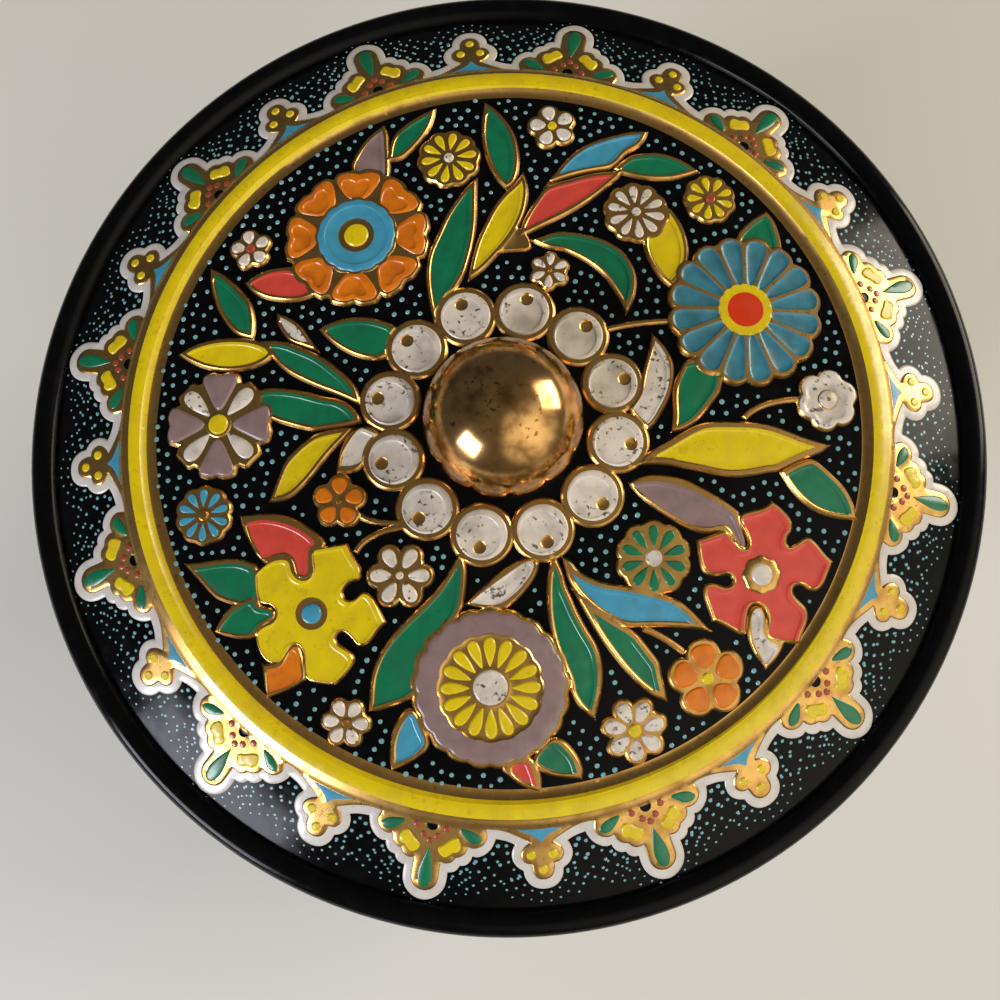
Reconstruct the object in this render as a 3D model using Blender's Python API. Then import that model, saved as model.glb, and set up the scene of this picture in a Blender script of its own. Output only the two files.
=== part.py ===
"""Round tinplate canister with a shallow domed lid, pressed into flowers and leaves, and a brass knob.

The canister stands on the folded seam of its base. The lid is one pressed sheet that slips over the
top of the wall and rests on a rolled bead there. The frame has +Z up and its origin in the middle of
the underside, and +Y points to the far side of the lid's pattern.
"""

import math
from dataclasses import dataclass
from enum import Enum

import bmesh
import bpy
import numpy as np
from mathutils.geometry import delaunay_2d_cdt

MM = 0.001

# Tinplate sheet, and the air left between two pieces that touch
SHEET = 0.3 * MM
CONTACT_GAP = 0.3 * MM

# Wall
BODY_RADIUS = 61.9 * MM
BODY_HEIGHT = 120.0 * MM
NECK_HEIGHT = 9.0 * MM
STOP_BEAD_HEIGHT = 3.0 * MM
STOP_BEAD_PROUD = 1.0 * MM
CURL_WIDTH = 1.2 * MM

# Base
SEAM_HEIGHT = 3.0 * MM
BASE_RECESS = 2.4 * MM
BASE_STEP_INSET = 9.0 * MM
BASE_STEP_RISE = 0.8 * MM
BASE_STEP_WIDTH = 2.0 * MM

# Lid below its dome
LID_CLEARANCE = 0.4 * MM
LID_HEADROOM = 1.4 * MM
HEM_HEIGHT = 1.6 * MM
RIM_PROUD = 0.6 * MM
RIM_BEAD_RADIUS = 1.9 * MM
RIM_BEAD_START = 150.0
RIM_BEAD_END = -50.0

# Dome of the lid
BORDER_WIDTH = 13.4 * MM
PANEL_RISE = 2.9 * MM
BORDER_DROP = 4.6 * MM
BORDER_SLOPE = 0.25

# Pressed relief of the lid
DRAFT = 0.35 * MM
RING_EDGE = 1.1 * MM
RING_WIDTH = 2.3 * MM
RING_LIFT = 0.8 * MM
FLOWER_LIFT = 0.7 * MM
LEAF_LIFT = 0.5 * MM
TIER_LIFT = 0.25 * MM
PEARL_LIFT = 0.5 * MM
BORDER_LIFT = 0.35 * MM
PATTERN_TURN = 20.0
PEARL_COUNT = 12
PEARL_SPACE = 0.9 * MM
PEARL_RADIUS = 3.5 * MM
BORDER_PAIRS = 12
LARGE_MOTIF_MARGIN = 0.5 * MM
LARGE_MOTIF_SHARE = 0.49
SMALL_MOTIF_MARGIN = 2.6 * MM
SMALL_MOTIF_SHARE = 0.27

# Knob
KNOB_RADIUS = 9.9 * MM
KNOB_CENTRE_RISE = 1.1 * MM

# Facets
ROUND_SIDES = 48
KNOB_SIDES = 24
KNOB_STEPS = 6
PEARL_SIDES = 10
MOTIF_STEPS = 4
INNER_RINGS = 4
BEAD_STEPS = 4
GROUND_RINGS = (0.42, 0.62, 0.82)
GROUND_SIDES = 28
GROUND_CLEAR = 1.6 * MM
WELD = 0.002 * MM
SHEET_ON_SLOPE = 1.15

# Values that follow from the ones above
BODY_INSIDE = BODY_RADIUS - SHEET
SEAM_OUTER = BODY_RADIUS + CONTACT_GAP + SHEET
SEAM_INNER = BODY_INSIDE - CONTACT_GAP - SHEET
STOP_BEAD_Z = BODY_HEIGHT - NECK_HEIGHT - STOP_BEAD_HEIGHT / 2
LID_EDGE_Z = STOP_BEAD_Z + STOP_BEAD_HEIGHT / 2 + CONTACT_GAP
HEM_INSIDE = BODY_RADIUS + LID_CLEARANCE
SKIRT_INSIDE = HEM_INSIDE + SHEET
SKIRT_OUTSIDE = SKIRT_INSIDE + SHEET
LID_RADIUS = SKIRT_OUTSIDE + RIM_PROUD
RIM_BEAD_R = LID_RADIUS - RIM_BEAD_RADIUS
RIM_BEAD_Z = BODY_HEIGHT + LID_HEADROOM
CREASE_RADIUS = RIM_BEAD_R + RIM_BEAD_RADIUS * math.cos(math.radians(RIM_BEAD_START))
CREASE_Z = RIM_BEAD_Z + RIM_BEAD_RADIUS * math.sin(math.radians(RIM_BEAD_START))
FIELD_RADIUS = CREASE_RADIUS - BORDER_WIDTH
BASE_STEP_RADIUS = SEAM_INNER - BASE_STEP_INSET
PEARL_REACH = KNOB_RADIUS + PEARL_SPACE + PEARL_RADIUS
MOTIF_FOOT = FIELD_RADIUS + RING_WIDTH + RING_EDGE + DRAFT
MOTIF_PITCH = 2.0 * math.pi * MOTIF_FOOT / BORDER_PAIRS


class Petals(Enum):
    """How the petals of a flower end."""

    ROUND = "round"
    HEART = "heart"
    SLOTTED = "slotted"


@dataclass(frozen=True)
class Flower:
    """A flower of the lid's field, in percent of the field's radius.

    Attributes:
        name: What it looks like.
        at: Middle of the flower, as x and y.
        size: Radius to the tips of its petals.
        petals: Number of petals.
        depth: Depth of the gaps between the petals, as a share of the size.
        turn: Direction of one petal, in degrees from +X.
        tiers: Radii of the raised discs in its middle, as shares of the size.
        ends: How the petals end.
    """

    name: str
    at: tuple
    size: float
    petals: int
    depth: float
    turn: float = 90.0
    tiers: tuple = ()
    ends: Petals = Petals.ROUND


@dataclass(frozen=True)
class Leaf:
    """A pointed leaf of the lid's field, in percent of the field's radius.

    Attributes:
        name: What it looks like.
        root: Where the leaf starts.
        tip: Where it ends.
        width: Greatest width.
        bow: How far its middle swings to the left of the way to the tip, as a share of its length.
    """

    name: str
    root: tuple
    tip: tuple
    width: float
    bow: float = 0.0


@dataclass(frozen=True)
class Relief:
    """A raised part of the lid's sheet.

    Attributes:
        outline: Plan outline as an array of x and y, anticlockwise.
        foot: Height above the dome where it starts, at its outline.
        top: Height above the dome of its flat top.
    """

    outline: np.ndarray
    foot: float
    top: float


FLOWERS = (
    Flower("orange scallops", (-41.5, 53.7), 20.6, 8, 0.13, 90.0, (0.54, 0.20), Petals.HEART),
    Flower("yellow daisy", (-15.5, 77.0), 9.6, 10, 0.14),
    Flower("white buttercup", (14.0, 87.5), 7.6, 5, 0.28),
    Flower("white daisy", (37.0, 60.0), 9.3, 10, 0.14),
    Flower("yellow aster", (58.5, 64.5), 8.0, 9, 0.14),
    Flower("great blue daisy", (66.0, 31.4), 21.6, 18, 0.09, 90.0, (0.34,)),
    Flower("small white star", (12.5, 42.5), 5.8, 6, 0.22),
    Flower("grey white rose", (87.5, 6.0), 8.4, 6, 0.22),
    Flower("white violet", (-71.5, 50.5), 6.6, 5, 0.26),
    Flower("mauve wheel", (-77.6, -0.3), 15.1, 8, 0.14, 90.0, (0.20,)),
    Flower("blue aster", (-80.5, -25.0), 7.8, 9, 0.14),
    Flower("orange pansy", (-43.5, -21.5), 7.6, 5, 0.28),
    Flower("white primrose", (-27.5, -41.0), 8.6, 6, 0.26),
    Flower("great yellow bloom", (-51.3, -51.3), 18.9, 5, 0.42, 65.0, (0.20,), Petals.SLOTTED),
    Flower("white aster", (-40.5, -79.0), 6.8, 7, 0.18),
    Flower("mauve collar", (-3.5, -71.0), 20.6, 18, 0.07, 90.0, (0.64, 0.24)),
    Flower("green aster", (39.5, -36.5), 9.7, 10, 0.14),
    Flower("great coral bloom", (68.0, -40.4), 19.3, 5, 0.42, 81.0, (0.20,), Petals.SLOTTED),
    Flower("orange primrose", (53.0, -68.0), 10.3, 5, 0.22),
    Flower("white anemone", (34.5, -81.5), 9.4, 8, 0.18),
)

LEAVES = (
    Leaf("mauve bract", (-39.0, 73.0), (-34.0, 87.5), 11.0, -0.10),
    Leaf("green blade by the bract", (-31.5, 76.0), (-20.0, 92.0), 7.5, 0.10),
    Leaf("green at the top", (1.0, 68.5), (-5.0, 94.5), 9.6),
    Leaf("green over the discs", (-18.5, 32.5), (-8.0, 70.0), 11.8, 0.05),
    Leaf("yellow over the discs", (-7.5, 40.0), (4.5, 72.5), 8.9, -0.05),
    Leaf("coral under the orange", (-53.5, 36.5), (-72.0, 40.5), 8.7),
    Leaf("green at the left", (-69.5, 24.5), (-82.5, 45.0), 10.4, -0.08),
    Leaf("yellow at the left", (-64.0, 19.0), (-89.5, 20.5), 8.0, -0.05),
    Leaf("green slant at the left", (-64.5, 23.0), (-39.0, 6.0), 8.5, 0.06),
    Leaf("white bud leaf", (-50.5, 19.0), (-62.5, 30.5), 4.7, -0.12),
    Leaf("green by the discs", (-29.0, 21.5), (-50.0, 26.0), 11.1, -0.06),
    Leaf("green below the slant", (-66.0, 8.5), (-38.0, 0.0), 10.6, 0.08),
    Leaf("yellow below the discs", (-42.0, -2.5), (-62.5, -21.5), 8.0, -0.12),
    Leaf("grey by the discs", (-44.0, -12.0), (-34.0, -2.0), 6.6, 0.08),
    Leaf("blue at the top", (13.5, 68.0), (41.5, 85.0), 10.3, 0.08),
    Leaf("green beside the blue", (30.0, 74.5), (55.0, 72.5), 7.3, 0.10),
    Leaf("coral at the top", (6.0, 53.5), (31.5, 72.5), 9.2, 0.05),
    Leaf("yellow by the blue daisy", (45.0, 58.0), (47.0, 37.5), 11.0, 0.12),
    Leaf("green crescent", (8.0, 52.0), (34.0, 29.5), 8.3, 0.32),
    Leaf("green over the blue daisy", (71.5, 48.5), (74.0, 61.5), 12.0),
    Leaf("white crescent", (40.5, 24.5), (38.0, -1.5), 6.9, 0.25),
    Leaf("green under the blue daisy", (52.5, 13.0), (46.5, -2.5), 11.0, -0.06),
    Leaf("long yellow", (37.5, -10.5), (88.0, -6.0), 12.2, 0.05),
    Leaf("green at the right", (74.0, -13.0), (94.5, -26.0), 10.6, 0.10),
    Leaf("mauve at the right", (33.5, -17.0), (60.0, -31.5), 7.8, 0.10),
    Leaf("coral at the left", (-70.5, -25.0), (-51.5, -35.0), 11.0, 0.08),
    Leaf("green at the lower left", (-66.5, -42.0), (-85.5, -38.5), 12.0, 0.05),
    Leaf("green below it", (-61.5, -51.0), (-77.0, -56.5), 9.4, 0.05),
    Leaf("orange below the bloom", (-54.5, -62.0), (-62.5, -73.5), 9.1),
    Leaf("great bowed green", (-11.0, -38.5), (-34.5, -76.5), 12.9, -0.12),
    Leaf("blue by the collar", (-24.0, -79.0), (-29.0, -91.5), 8.9, -0.08),
    Leaf("white under the discs", (4.5, -38.5), (-9.5, -50.0), 6.5, -0.08),
    Leaf("great green", (13.5, -39.0), (23.5, -78.5), 12.8, -0.06),
    Leaf("blue at the lower right", (17.0, -41.0), (54.5, -55.5), 9.1, 0.10),
    Leaf("green below the blue", (20.0, -46.5), (42.5, -74.0), 8.9, -0.05),
    Leaf("white under the coral", (66.5, -52.0), (69.0, -65.5), 7.7, -0.06),
    Leaf("coral below the collar", (-1.0, -90.0), (9.5, -96.0), 5.1),
    Leaf("green below the collar", (8.5, -88.5), (20.5, -93.0), 9.0, 0.10),
)

# Outlines: the size below which petals stay plain, where leaves are widest, and how motifs narrow
SMALL_FLOWER = 11.0
LEAF_STEPS = 4
LEAF_BELLY = 0.75
MOTIF_WAIST = 0.28
MOTIF_HOLLOW = 1.3
MOTIF_TIP = 0.5


def clear_scene():
    """Remove every object that the start file holds."""
    for item in list(bpy.data.objects):
        bpy.data.objects.remove(item, do_unlink=True)


def make_material(name, colour, roughness, metallic):
    """Make a plain surface.

    Args:
        name: Name of the material.
        colour: Red, green and blue, linear.
        roughness: Roughness of the surface.
        metallic: 1 for bare metal and 0 for enamel.

    Returns:
        The new material.
    """
    material = bpy.data.materials.new(name)
    material.use_nodes = True
    surface = material.node_tree.nodes["Principled BSDF"]
    surface.inputs["Base Color"].default_value = (*colour, 1.0)
    surface.inputs["Roughness"].default_value = roughness
    surface.inputs["Metallic"].default_value = metallic
    return material


def dome_height(radius):
    """Height of the lid's smooth dome above the floor.

    Args:
        radius: Distance from the axis, one number or an array.

    Returns:
        The height, in the same form.
    """
    radius = np.abs(radius)
    ring_z = CREASE_Z + BORDER_DROP
    panel = ring_z + PANEL_RISE * (1.0 - (radius / FIELD_RADIUS) ** 2)
    out = radius - FIELD_RADIUS
    steepening = (BORDER_DROP - BORDER_SLOPE * BORDER_WIDTH) / BORDER_WIDTH ** 2
    border = ring_z - BORDER_SLOPE * out - steepening * out ** 2
    return np.where(out < 0.0, panel, border)


def circle(radius, sides, middle=(0.0, 0.0)):
    """Points of a circle in plan.

    Args:
        radius: Radius of the circle.
        sides: Number of points.
        middle: Its middle, as x and y.

    Returns:
        An array of x and y, anticlockwise.
    """
    angle = np.arange(sides) * (2.0 * math.pi / sides)
    return np.stack([middle[0] + radius * np.cos(angle), middle[1] + radius * np.sin(angle)], axis=1)


def flower_outline(flower):
    """Plan outline of a flower.

    Args:
        flower: The flower's row.

    Returns:
        An array of x and y, anticlockwise.
    """
    share = FIELD_RADIUS / 100.0
    gap = 1.0 - flower.depth
    if flower.ends is Petals.SLOTTED:
        petal = ((-0.38, gap), (-0.41, 0.88), (0.0, 1.0), (0.41, 0.88), (0.38, gap))
    elif flower.ends is Petals.HEART:
        petal = ((-0.50, gap), (-0.28, 1.0), (0.0, 0.95), (0.28, 1.0))
    elif flower.size < SMALL_FLOWER:
        petal = ((-0.50, gap), (0.0, 1.0))
    else:
        shoulder = 1.0 - 0.3 * flower.depth
        petal = ((-0.50, gap), (-0.22, shoulder), (0.22, shoulder))
    step = 360.0 / flower.petals
    points = []
    for index in range(flower.petals):
        for turn, reach in petal:
            angle = math.radians(flower.turn + (index + turn) * step)
            points.append((reach * math.cos(angle), reach * math.sin(angle)))
    return (np.array(points) * flower.size + np.array(flower.at)) * share


def leaf_outline(leaf):
    """Plan outline of a pointed leaf.

    Args:
        leaf: The leaf's row.

    Returns:
        An array of x and y, anticlockwise.
    """
    share = FIELD_RADIUS / 100.0
    root = np.array(leaf.root)
    way = np.array(leaf.tip) - root
    left = np.array([-way[1], way[0]])
    along = np.linspace(0.0, 1.0, LEAF_STEPS + 1)
    swing = 4.0 * leaf.bow * along * (1.0 - along)
    half = 0.5 * leaf.width / np.hypot(*way) * np.sin(math.pi * along ** LEAF_BELLY)
    spine = root + np.outer(along, way)
    right_side = spine + np.outer(swing - half, left)
    left_side = spine + np.outer(swing + half, left)
    return np.concatenate([right_side, left_side[-2:0:-1]]) * share


def motif_outline(bearing, margin, share):
    """Plan outline of a motif of the border, which stands on the ring and narrows to a round tip.

    Args:
        bearing: Direction of the motif from the axis, in degrees.
        margin: Air between its tip and the crease of the rim.
        share: Its width at the ring, as a share of the pitch.

    Returns:
        An array of x and y, anticlockwise.
    """
    along = np.linspace(0.0, 1.0, MOTIF_STEPS)
    taper = MOTIF_WAIST + (1.0 - MOTIF_WAIST) * (1.0 - along) ** MOTIF_HOLLOW
    half = 0.5 * share * MOTIF_PITCH * taper
    half[-1] *= MOTIF_TIP
    out = MOTIF_FOOT + (CREASE_RADIUS - margin - MOTIF_FOOT) * along
    side = np.stack([out, -half], axis=1)
    other = np.stack([out, half], axis=1)
    points = np.concatenate([side, other[::-1]])
    turn = math.radians(bearing)
    across = np.array([[math.cos(turn), math.sin(turn)], [-math.sin(turn), math.cos(turn)]])
    return points @ across


def signed_depth(points, outline):
    """How deep points lie inside an outline.

    Args:
        points: Array of x and y.
        outline: Array of x and y, a closed loop.

    Returns:
        The distance to the outline for each point, below zero outside it.
    """
    nearest = np.full(len(points), np.inf)
    inside = np.zeros(len(points), dtype=bool)
    for start, end in zip(outline, np.roll(outline, -1, axis=0)):
        edge = end - start
        offset = points - start
        share = np.clip(offset @ edge / (edge @ edge), 0.0, 1.0)
        nearest = np.minimum(nearest, np.linalg.norm(offset - np.outer(share, edge), axis=1))
        crosses = (start[1] > points[:, 1]) != (end[1] > points[:, 1])
        if start[1] != end[1]:
            level = start[0] + (points[:, 1] - start[1]) * edge[0] / edge[1]
            inside ^= crosses & (points[:, 0] < level)
    return np.where(inside, nearest, -nearest)


def shrink(outline, step):
    """Move an outline inwards.

    Args:
        outline: Array of x and y, anticlockwise.
        step: How far each side moves.

    Returns:
        The moved outline, without the points that end up too near the old one.
    """
    ahead = np.roll(outline, -1, axis=0) - outline
    ahead = ahead / np.linalg.norm(ahead, axis=1)[:, None]
    normal = np.stack([-ahead[:, 1], ahead[:, 0]], axis=1)
    middle = normal + np.roll(normal, 1, axis=0)
    middle = middle / np.maximum(np.linalg.norm(middle, axis=1), 0.2)[:, None]
    lean = np.maximum(np.einsum("ij,ij->i", middle, normal), 0.4)
    moved = outline + middle * (step / lean)[:, None]
    return moved[signed_depth(moved, outline) > 0.6 * step]


def field_reliefs():
    """Raised parts inside the ring: discs round the knob, flowers and leaves.

    Returns:
        A list of reliefs.
    """
    share = FIELD_RADIUS / 100.0
    reliefs = []
    for index in range(PEARL_COUNT):
        turn = math.radians(PATTERN_TURN + index * 360.0 / PEARL_COUNT)
        middle = (PEARL_REACH * math.cos(turn), PEARL_REACH * math.sin(turn))
        reliefs.append(Relief(circle(PEARL_RADIUS, PEARL_SIDES, middle), 0.0, PEARL_LIFT))
    for leaf in LEAVES:
        reliefs.append(Relief(leaf_outline(leaf), 0.0, LEAF_LIFT))
    for flower in FLOWERS:
        reliefs.append(Relief(flower_outline(flower), 0.0, FLOWER_LIFT))
        middle = np.array(flower.at) * share
        for level, size in enumerate(flower.tiers):
            foot = FLOWER_LIFT + level * TIER_LIFT
            disc = circle(size * flower.size * share, PEARL_SIDES, middle)
            reliefs.append(Relief(disc, foot, foot + TIER_LIFT))
    return reliefs


def border_reliefs():
    """Raised motifs outside the ring, large and small in turn.

    Returns:
        A list of reliefs.
    """
    reliefs = []
    step = 360.0 / BORDER_PAIRS
    for index in range(BORDER_PAIRS):
        large = PATTERN_TURN + index * step
        outline = motif_outline(large, LARGE_MOTIF_MARGIN, LARGE_MOTIF_SHARE)
        reliefs.append(Relief(outline, 0.0, BORDER_LIFT))
        outline = motif_outline(large + step / 2, SMALL_MOTIF_MARGIN, SMALL_MOTIF_SHARE)
        reliefs.append(Relief(outline, 0.0, BORDER_LIFT))
    return reliefs


def lift_of(points, reliefs):
    """Height of the pressed relief above the dome.

    Args:
        points: Array of x and y.
        reliefs: The raised parts.

    Returns:
        The height at each point.
    """
    radius = np.linalg.norm(points, axis=1)
    middle = FIELD_RADIUS + RING_WIDTH / 2
    ring = (RING_WIDTH / 2 + RING_EDGE - np.abs(radius - middle)) / RING_EDGE
    lift = RING_LIFT * np.clip(ring, 0.0, 1.0)
    for relief in reliefs:
        depth = signed_depth(points, relief.outline)
        rise = relief.foot + (relief.top - relief.foot) * np.clip(depth / DRAFT, 0.0, 1.0)
        lift = np.maximum(lift, np.where(depth > 0.0, rise, 0.0))
    return lift


def ground_points(reliefs):
    """Points on the plain ground of the field, so that its facets follow the dome.

    Args:
        reliefs: The raised parts.

    Returns:
        An array of x and y.
    """
    rings = [circle(FIELD_RADIUS * share, GROUND_SIDES) for share in GROUND_RINGS]
    points = np.concatenate([np.zeros((1, 2))] + rings)
    clear = np.ones(len(points), dtype=bool)
    for relief in reliefs:
        clear &= signed_depth(points, relief.outline) < -GROUND_CLEAR
    return points[clear]


def lid_top_triangles():
    """Triangles of the lid's upper side, inside the crease of its rim.

    Returns:
        The points as an array of x, y and z, and the triangles as triples of indices.
    """
    inner = field_reliefs()
    reliefs = inner + border_reliefs()
    loops = [circle(CREASE_RADIUS, ROUND_SIDES)]
    ring_out = FIELD_RADIUS + RING_WIDTH
    for radius in (FIELD_RADIUS - RING_EDGE, FIELD_RADIUS, ring_out, ring_out + RING_EDGE):
        loops.append(circle(radius, ROUND_SIDES))
    for relief in reliefs:
        loops.append(relief.outline)
        loops.append(shrink(relief.outline, DRAFT))
    loose = ground_points(inner)
    flat = []
    edges = []
    for loop in loops:
        first = len(flat)
        count = len(loop)
        flat.extend(loop / MM)
        edges.extend((first + index, first + (index + 1) % count) for index in range(count))
    flat.extend(loose / MM)
    points, _, faces, *_ = delaunay_2d_cdt([tuple(point) for point in flat], edges, [], 0, WELD / MM)
    plan = np.array([tuple(point) for point in points]) * MM
    height = dome_height(np.linalg.norm(plan, axis=1)) + lift_of(plan, reliefs)
    return np.column_stack([plan, height]), faces


def arc(middle, radius, start, end, steps):
    """Points of an arc of a turned profile.

    Args:
        middle: Its middle, as radius from the axis and height.
        radius: Its radius.
        start: First angle in degrees, 0 pointing away from the axis.
        end: Last angle in degrees.
        steps: Number of steps.

    Returns:
        A list of points as radius and height.
    """
    angles = [math.radians(start + (end - start) * step / steps) for step in range(steps + 1)]
    return [(middle[0] + radius * math.cos(a), middle[1] + radius * math.sin(a)) for a in angles]


def spin_profile(mesh, profile, closed, sides):
    """Turn a profile once round the axis.

    Args:
        mesh: The bmesh that takes the faces.
        profile: Points as radius and height.
        closed: Whether the last point joins the first.
        sides: Number of sides of the round.
    """
    verts = [mesh.verts.new((radius, 0.0, height)) for radius, height in profile]
    pairs = list(zip(verts, verts[1:]))
    if closed:
        pairs.append((verts[-1], verts[0]))
    edges = [mesh.edges.new(pair) for pair in pairs]
    bmesh.ops.spin(mesh, geom=verts + edges, cent=(0.0, 0.0, 0.0), axis=(0.0, 0.0, 1.0),
                   angle=2.0 * math.pi, steps=sides, use_merge=True)
    bmesh.ops.remove_doubles(mesh, verts=mesh.verts[:], dist=WELD)


def add_object(mesh, name, material):
    """Put a finished mesh into the scene.

    Args:
        mesh: The bmesh, which is used up.
        name: Name of the object.
        material: Its material.

    Returns:
        The new object.
    """
    bmesh.ops.dissolve_degenerate(mesh, edges=mesh.edges[:], dist=WELD / 2)
    bmesh.ops.triangulate(mesh, faces=[face for face in mesh.faces if len(face.verts) > 4])
    bmesh.ops.recalc_face_normals(mesh, faces=mesh.faces[:])
    data = bpy.data.meshes.new(name)
    mesh.to_mesh(data)
    mesh.free()
    data.materials.append(material)
    data.shade_smooth()
    data.set_sharp_from_angle(angle=math.radians(25.0))
    item = bpy.data.objects.new(name, data)
    bpy.context.scene.collection.objects.link(item)
    return item


def build_wall(material):
    """Make the wall: a straight tube with a stop bead and a curl along its top edge.

    Args:
        material: The enamel of the wall.
    """
    foot = SHEET + CONTACT_GAP
    low = STOP_BEAD_Z - STOP_BEAD_HEIGHT / 2
    high = STOP_BEAD_Z + STOP_BEAD_HEIGHT / 2
    third = STOP_BEAD_HEIGHT / 6
    proud = BODY_RADIUS + STOP_BEAD_PROUD
    curl_inside = BODY_RADIUS - CURL_WIDTH
    curl_foot = BODY_HEIGHT - CURL_WIDTH
    corner = CURL_WIDTH / 4
    profile = [
        (BODY_RADIUS, foot),
        (BODY_RADIUS, low),
        (proud, STOP_BEAD_Z - third),
        (proud, STOP_BEAD_Z + third),
        (BODY_RADIUS, high),
        (BODY_RADIUS, BODY_HEIGHT - corner),
        (BODY_RADIUS - corner, BODY_HEIGHT),
        (curl_inside + corner, BODY_HEIGHT),
        (curl_inside, BODY_HEIGHT - corner),
        (curl_inside, curl_foot + corner),
        (BODY_INSIDE, curl_foot),
        (BODY_INSIDE, high),
        (proud - SHEET, STOP_BEAD_Z + third),
        (proud - SHEET, STOP_BEAD_Z - third),
        (BODY_INSIDE, low),
        (BODY_INSIDE, foot),
    ]
    mesh = bmesh.new()
    spin_profile(mesh, profile, True, ROUND_SIDES)
    add_object(mesh, "body_wall", material)


def build_base(material):
    """Make the base: a recessed panel whose rim folds round the foot of the wall.

    Args:
        material: The bare tinplate.
    """
    step_start = BASE_STEP_RADIUS + BASE_STEP_WIDTH
    top = BASE_RECESS + SHEET
    profile = [
        (0.0, BASE_RECESS + BASE_STEP_RISE),
        (BASE_STEP_RADIUS, BASE_RECESS + BASE_STEP_RISE),
        (step_start, BASE_RECESS),
        (SEAM_INNER, BASE_RECESS),
        (SEAM_INNER, 0.0),
        (SEAM_OUTER, 0.0),
        (SEAM_OUTER, SEAM_HEIGHT),
        (SEAM_OUTER - SHEET, SEAM_HEIGHT),
        (SEAM_OUTER - SHEET, SHEET),
        (SEAM_INNER + SHEET, SHEET),
        (SEAM_INNER + SHEET, top),
        (step_start, top),
        (BASE_STEP_RADIUS, top + BASE_STEP_RISE),
        (0.0, top + BASE_STEP_RISE),
    ]
    mesh = bmesh.new()
    spin_profile(mesh, profile, False, ROUND_SIDES)
    add_object(mesh, "base", material)


def build_lid(material):
    """Make the lid: the pressed dome, its rim bead, and the skirt with its hem.

    Args:
        material: The enamel of the lid.
    """
    bead = (RIM_BEAD_R, RIM_BEAD_Z)
    profile = arc(bead, RIM_BEAD_RADIUS, RIM_BEAD_START, RIM_BEAD_END, BEAD_STEPS)
    profile += [
        (SKIRT_OUTSIDE, LID_EDGE_Z),
        (HEM_INSIDE, LID_EDGE_Z),
        (HEM_INSIDE, LID_EDGE_Z + HEM_HEIGHT),
        (SKIRT_INSIDE, LID_EDGE_Z + HEM_HEIGHT),
    ]
    profile += arc(bead, RIM_BEAD_RADIUS - SHEET, RIM_BEAD_END, RIM_BEAD_START, BEAD_STEPS)[:-1]
    radii = [CREASE_RADIUS * (INNER_RINGS - index) / INNER_RINGS for index in range(INNER_RINGS + 1)]
    profile += [(radius, float(dome_height(radius)) - SHEET_ON_SLOPE * SHEET) for radius in radii]
    mesh = bmesh.new()
    spin_profile(mesh, profile, False, ROUND_SIDES)
    points, faces = lid_top_triangles()
    verts = [mesh.verts.new(point) for point in points]
    for face in faces:
        mesh.faces.new([verts[index] for index in face])
    bmesh.ops.remove_doubles(mesh, verts=mesh.verts[:], dist=WELD)
    add_object(mesh, "lid", material)


def build_knob(material):
    """Make the knob: a ball cut off just below its middle, standing on the crown of the lid.

    Args:
        material: The brass.
    """
    seat = float(dome_height(0.0)) + CONTACT_GAP
    middle = seat + KNOB_CENTRE_RISE
    foot_radius = math.sqrt(KNOB_RADIUS ** 2 - KNOB_CENTRE_RISE ** 2)
    foot_angle = -math.degrees(math.atan2(KNOB_CENTRE_RISE, foot_radius))
    profile = [(0.0, seat)] + arc((0.0, middle), KNOB_RADIUS, foot_angle, 90.0, KNOB_STEPS)
    profile[-1] = (0.0, middle + KNOB_RADIUS)
    mesh = bmesh.new()
    spin_profile(mesh, profile, False, KNOB_SIDES)
    add_object(mesh, "knob", material)


def main():
    """Build the canister's four pieces."""
    clear_scene()
    enamel = make_material("black enamel", (0.006, 0.006, 0.007), 0.12, 0.0)
    tinplate = make_material("tinplate", (0.55, 0.55, 0.56), 0.30, 1.0)
    brass = make_material("brass", (0.62, 0.40, 0.20), 0.16, 1.0)
    build_wall(enamel)
    build_base(tinplate)
    build_lid(enamel)
    build_knob(brass)


if __name__ == "__main__":
    main()
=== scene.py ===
"""Dressed model of a round tin canister: an enamelled lid pressed into flowers, leaves and a pointed
border, a brass knob, a plain black wall and a tinplate base.

The frame is the part's own: metres, +Z up, the origin in the middle of the underside, and +Y towards
the far side of the lid's pattern. Plan sizes of the lid's pattern are in millimetres until a mesh is made.
"""

import logging
import math
from dataclasses import dataclass, field
from enum import Enum
from typing import Callable, Optional

import bpy
import numpy as np
from mathutils import Matrix, Vector
from mathutils.geometry import delaunay_2d_cdt

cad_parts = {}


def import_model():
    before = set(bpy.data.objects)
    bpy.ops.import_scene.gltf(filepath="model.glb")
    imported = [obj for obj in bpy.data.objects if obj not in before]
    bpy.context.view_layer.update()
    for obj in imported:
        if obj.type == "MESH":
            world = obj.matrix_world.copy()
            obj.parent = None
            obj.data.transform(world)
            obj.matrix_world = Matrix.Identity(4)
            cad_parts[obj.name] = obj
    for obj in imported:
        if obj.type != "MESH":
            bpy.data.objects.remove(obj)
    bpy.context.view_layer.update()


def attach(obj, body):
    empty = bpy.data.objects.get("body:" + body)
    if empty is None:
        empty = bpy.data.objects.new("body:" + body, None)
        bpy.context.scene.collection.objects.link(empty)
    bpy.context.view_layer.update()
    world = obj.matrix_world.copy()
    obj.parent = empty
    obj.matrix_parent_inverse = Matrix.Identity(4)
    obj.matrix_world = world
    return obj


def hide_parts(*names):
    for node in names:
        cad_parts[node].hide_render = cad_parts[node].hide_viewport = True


MM = 0.001
WELD = 0.002
LOG = logging.getLogger("canister")

Array = np.ndarray
Item = bpy.types.Object
Material = bpy.types.Material
Node = bpy.types.ShaderNode
Socket = bpy.types.NodeSocket
Tree = bpy.types.NodeTree
Pair = tuple[float, float]
Points = tuple[Pair, ...]


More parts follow.
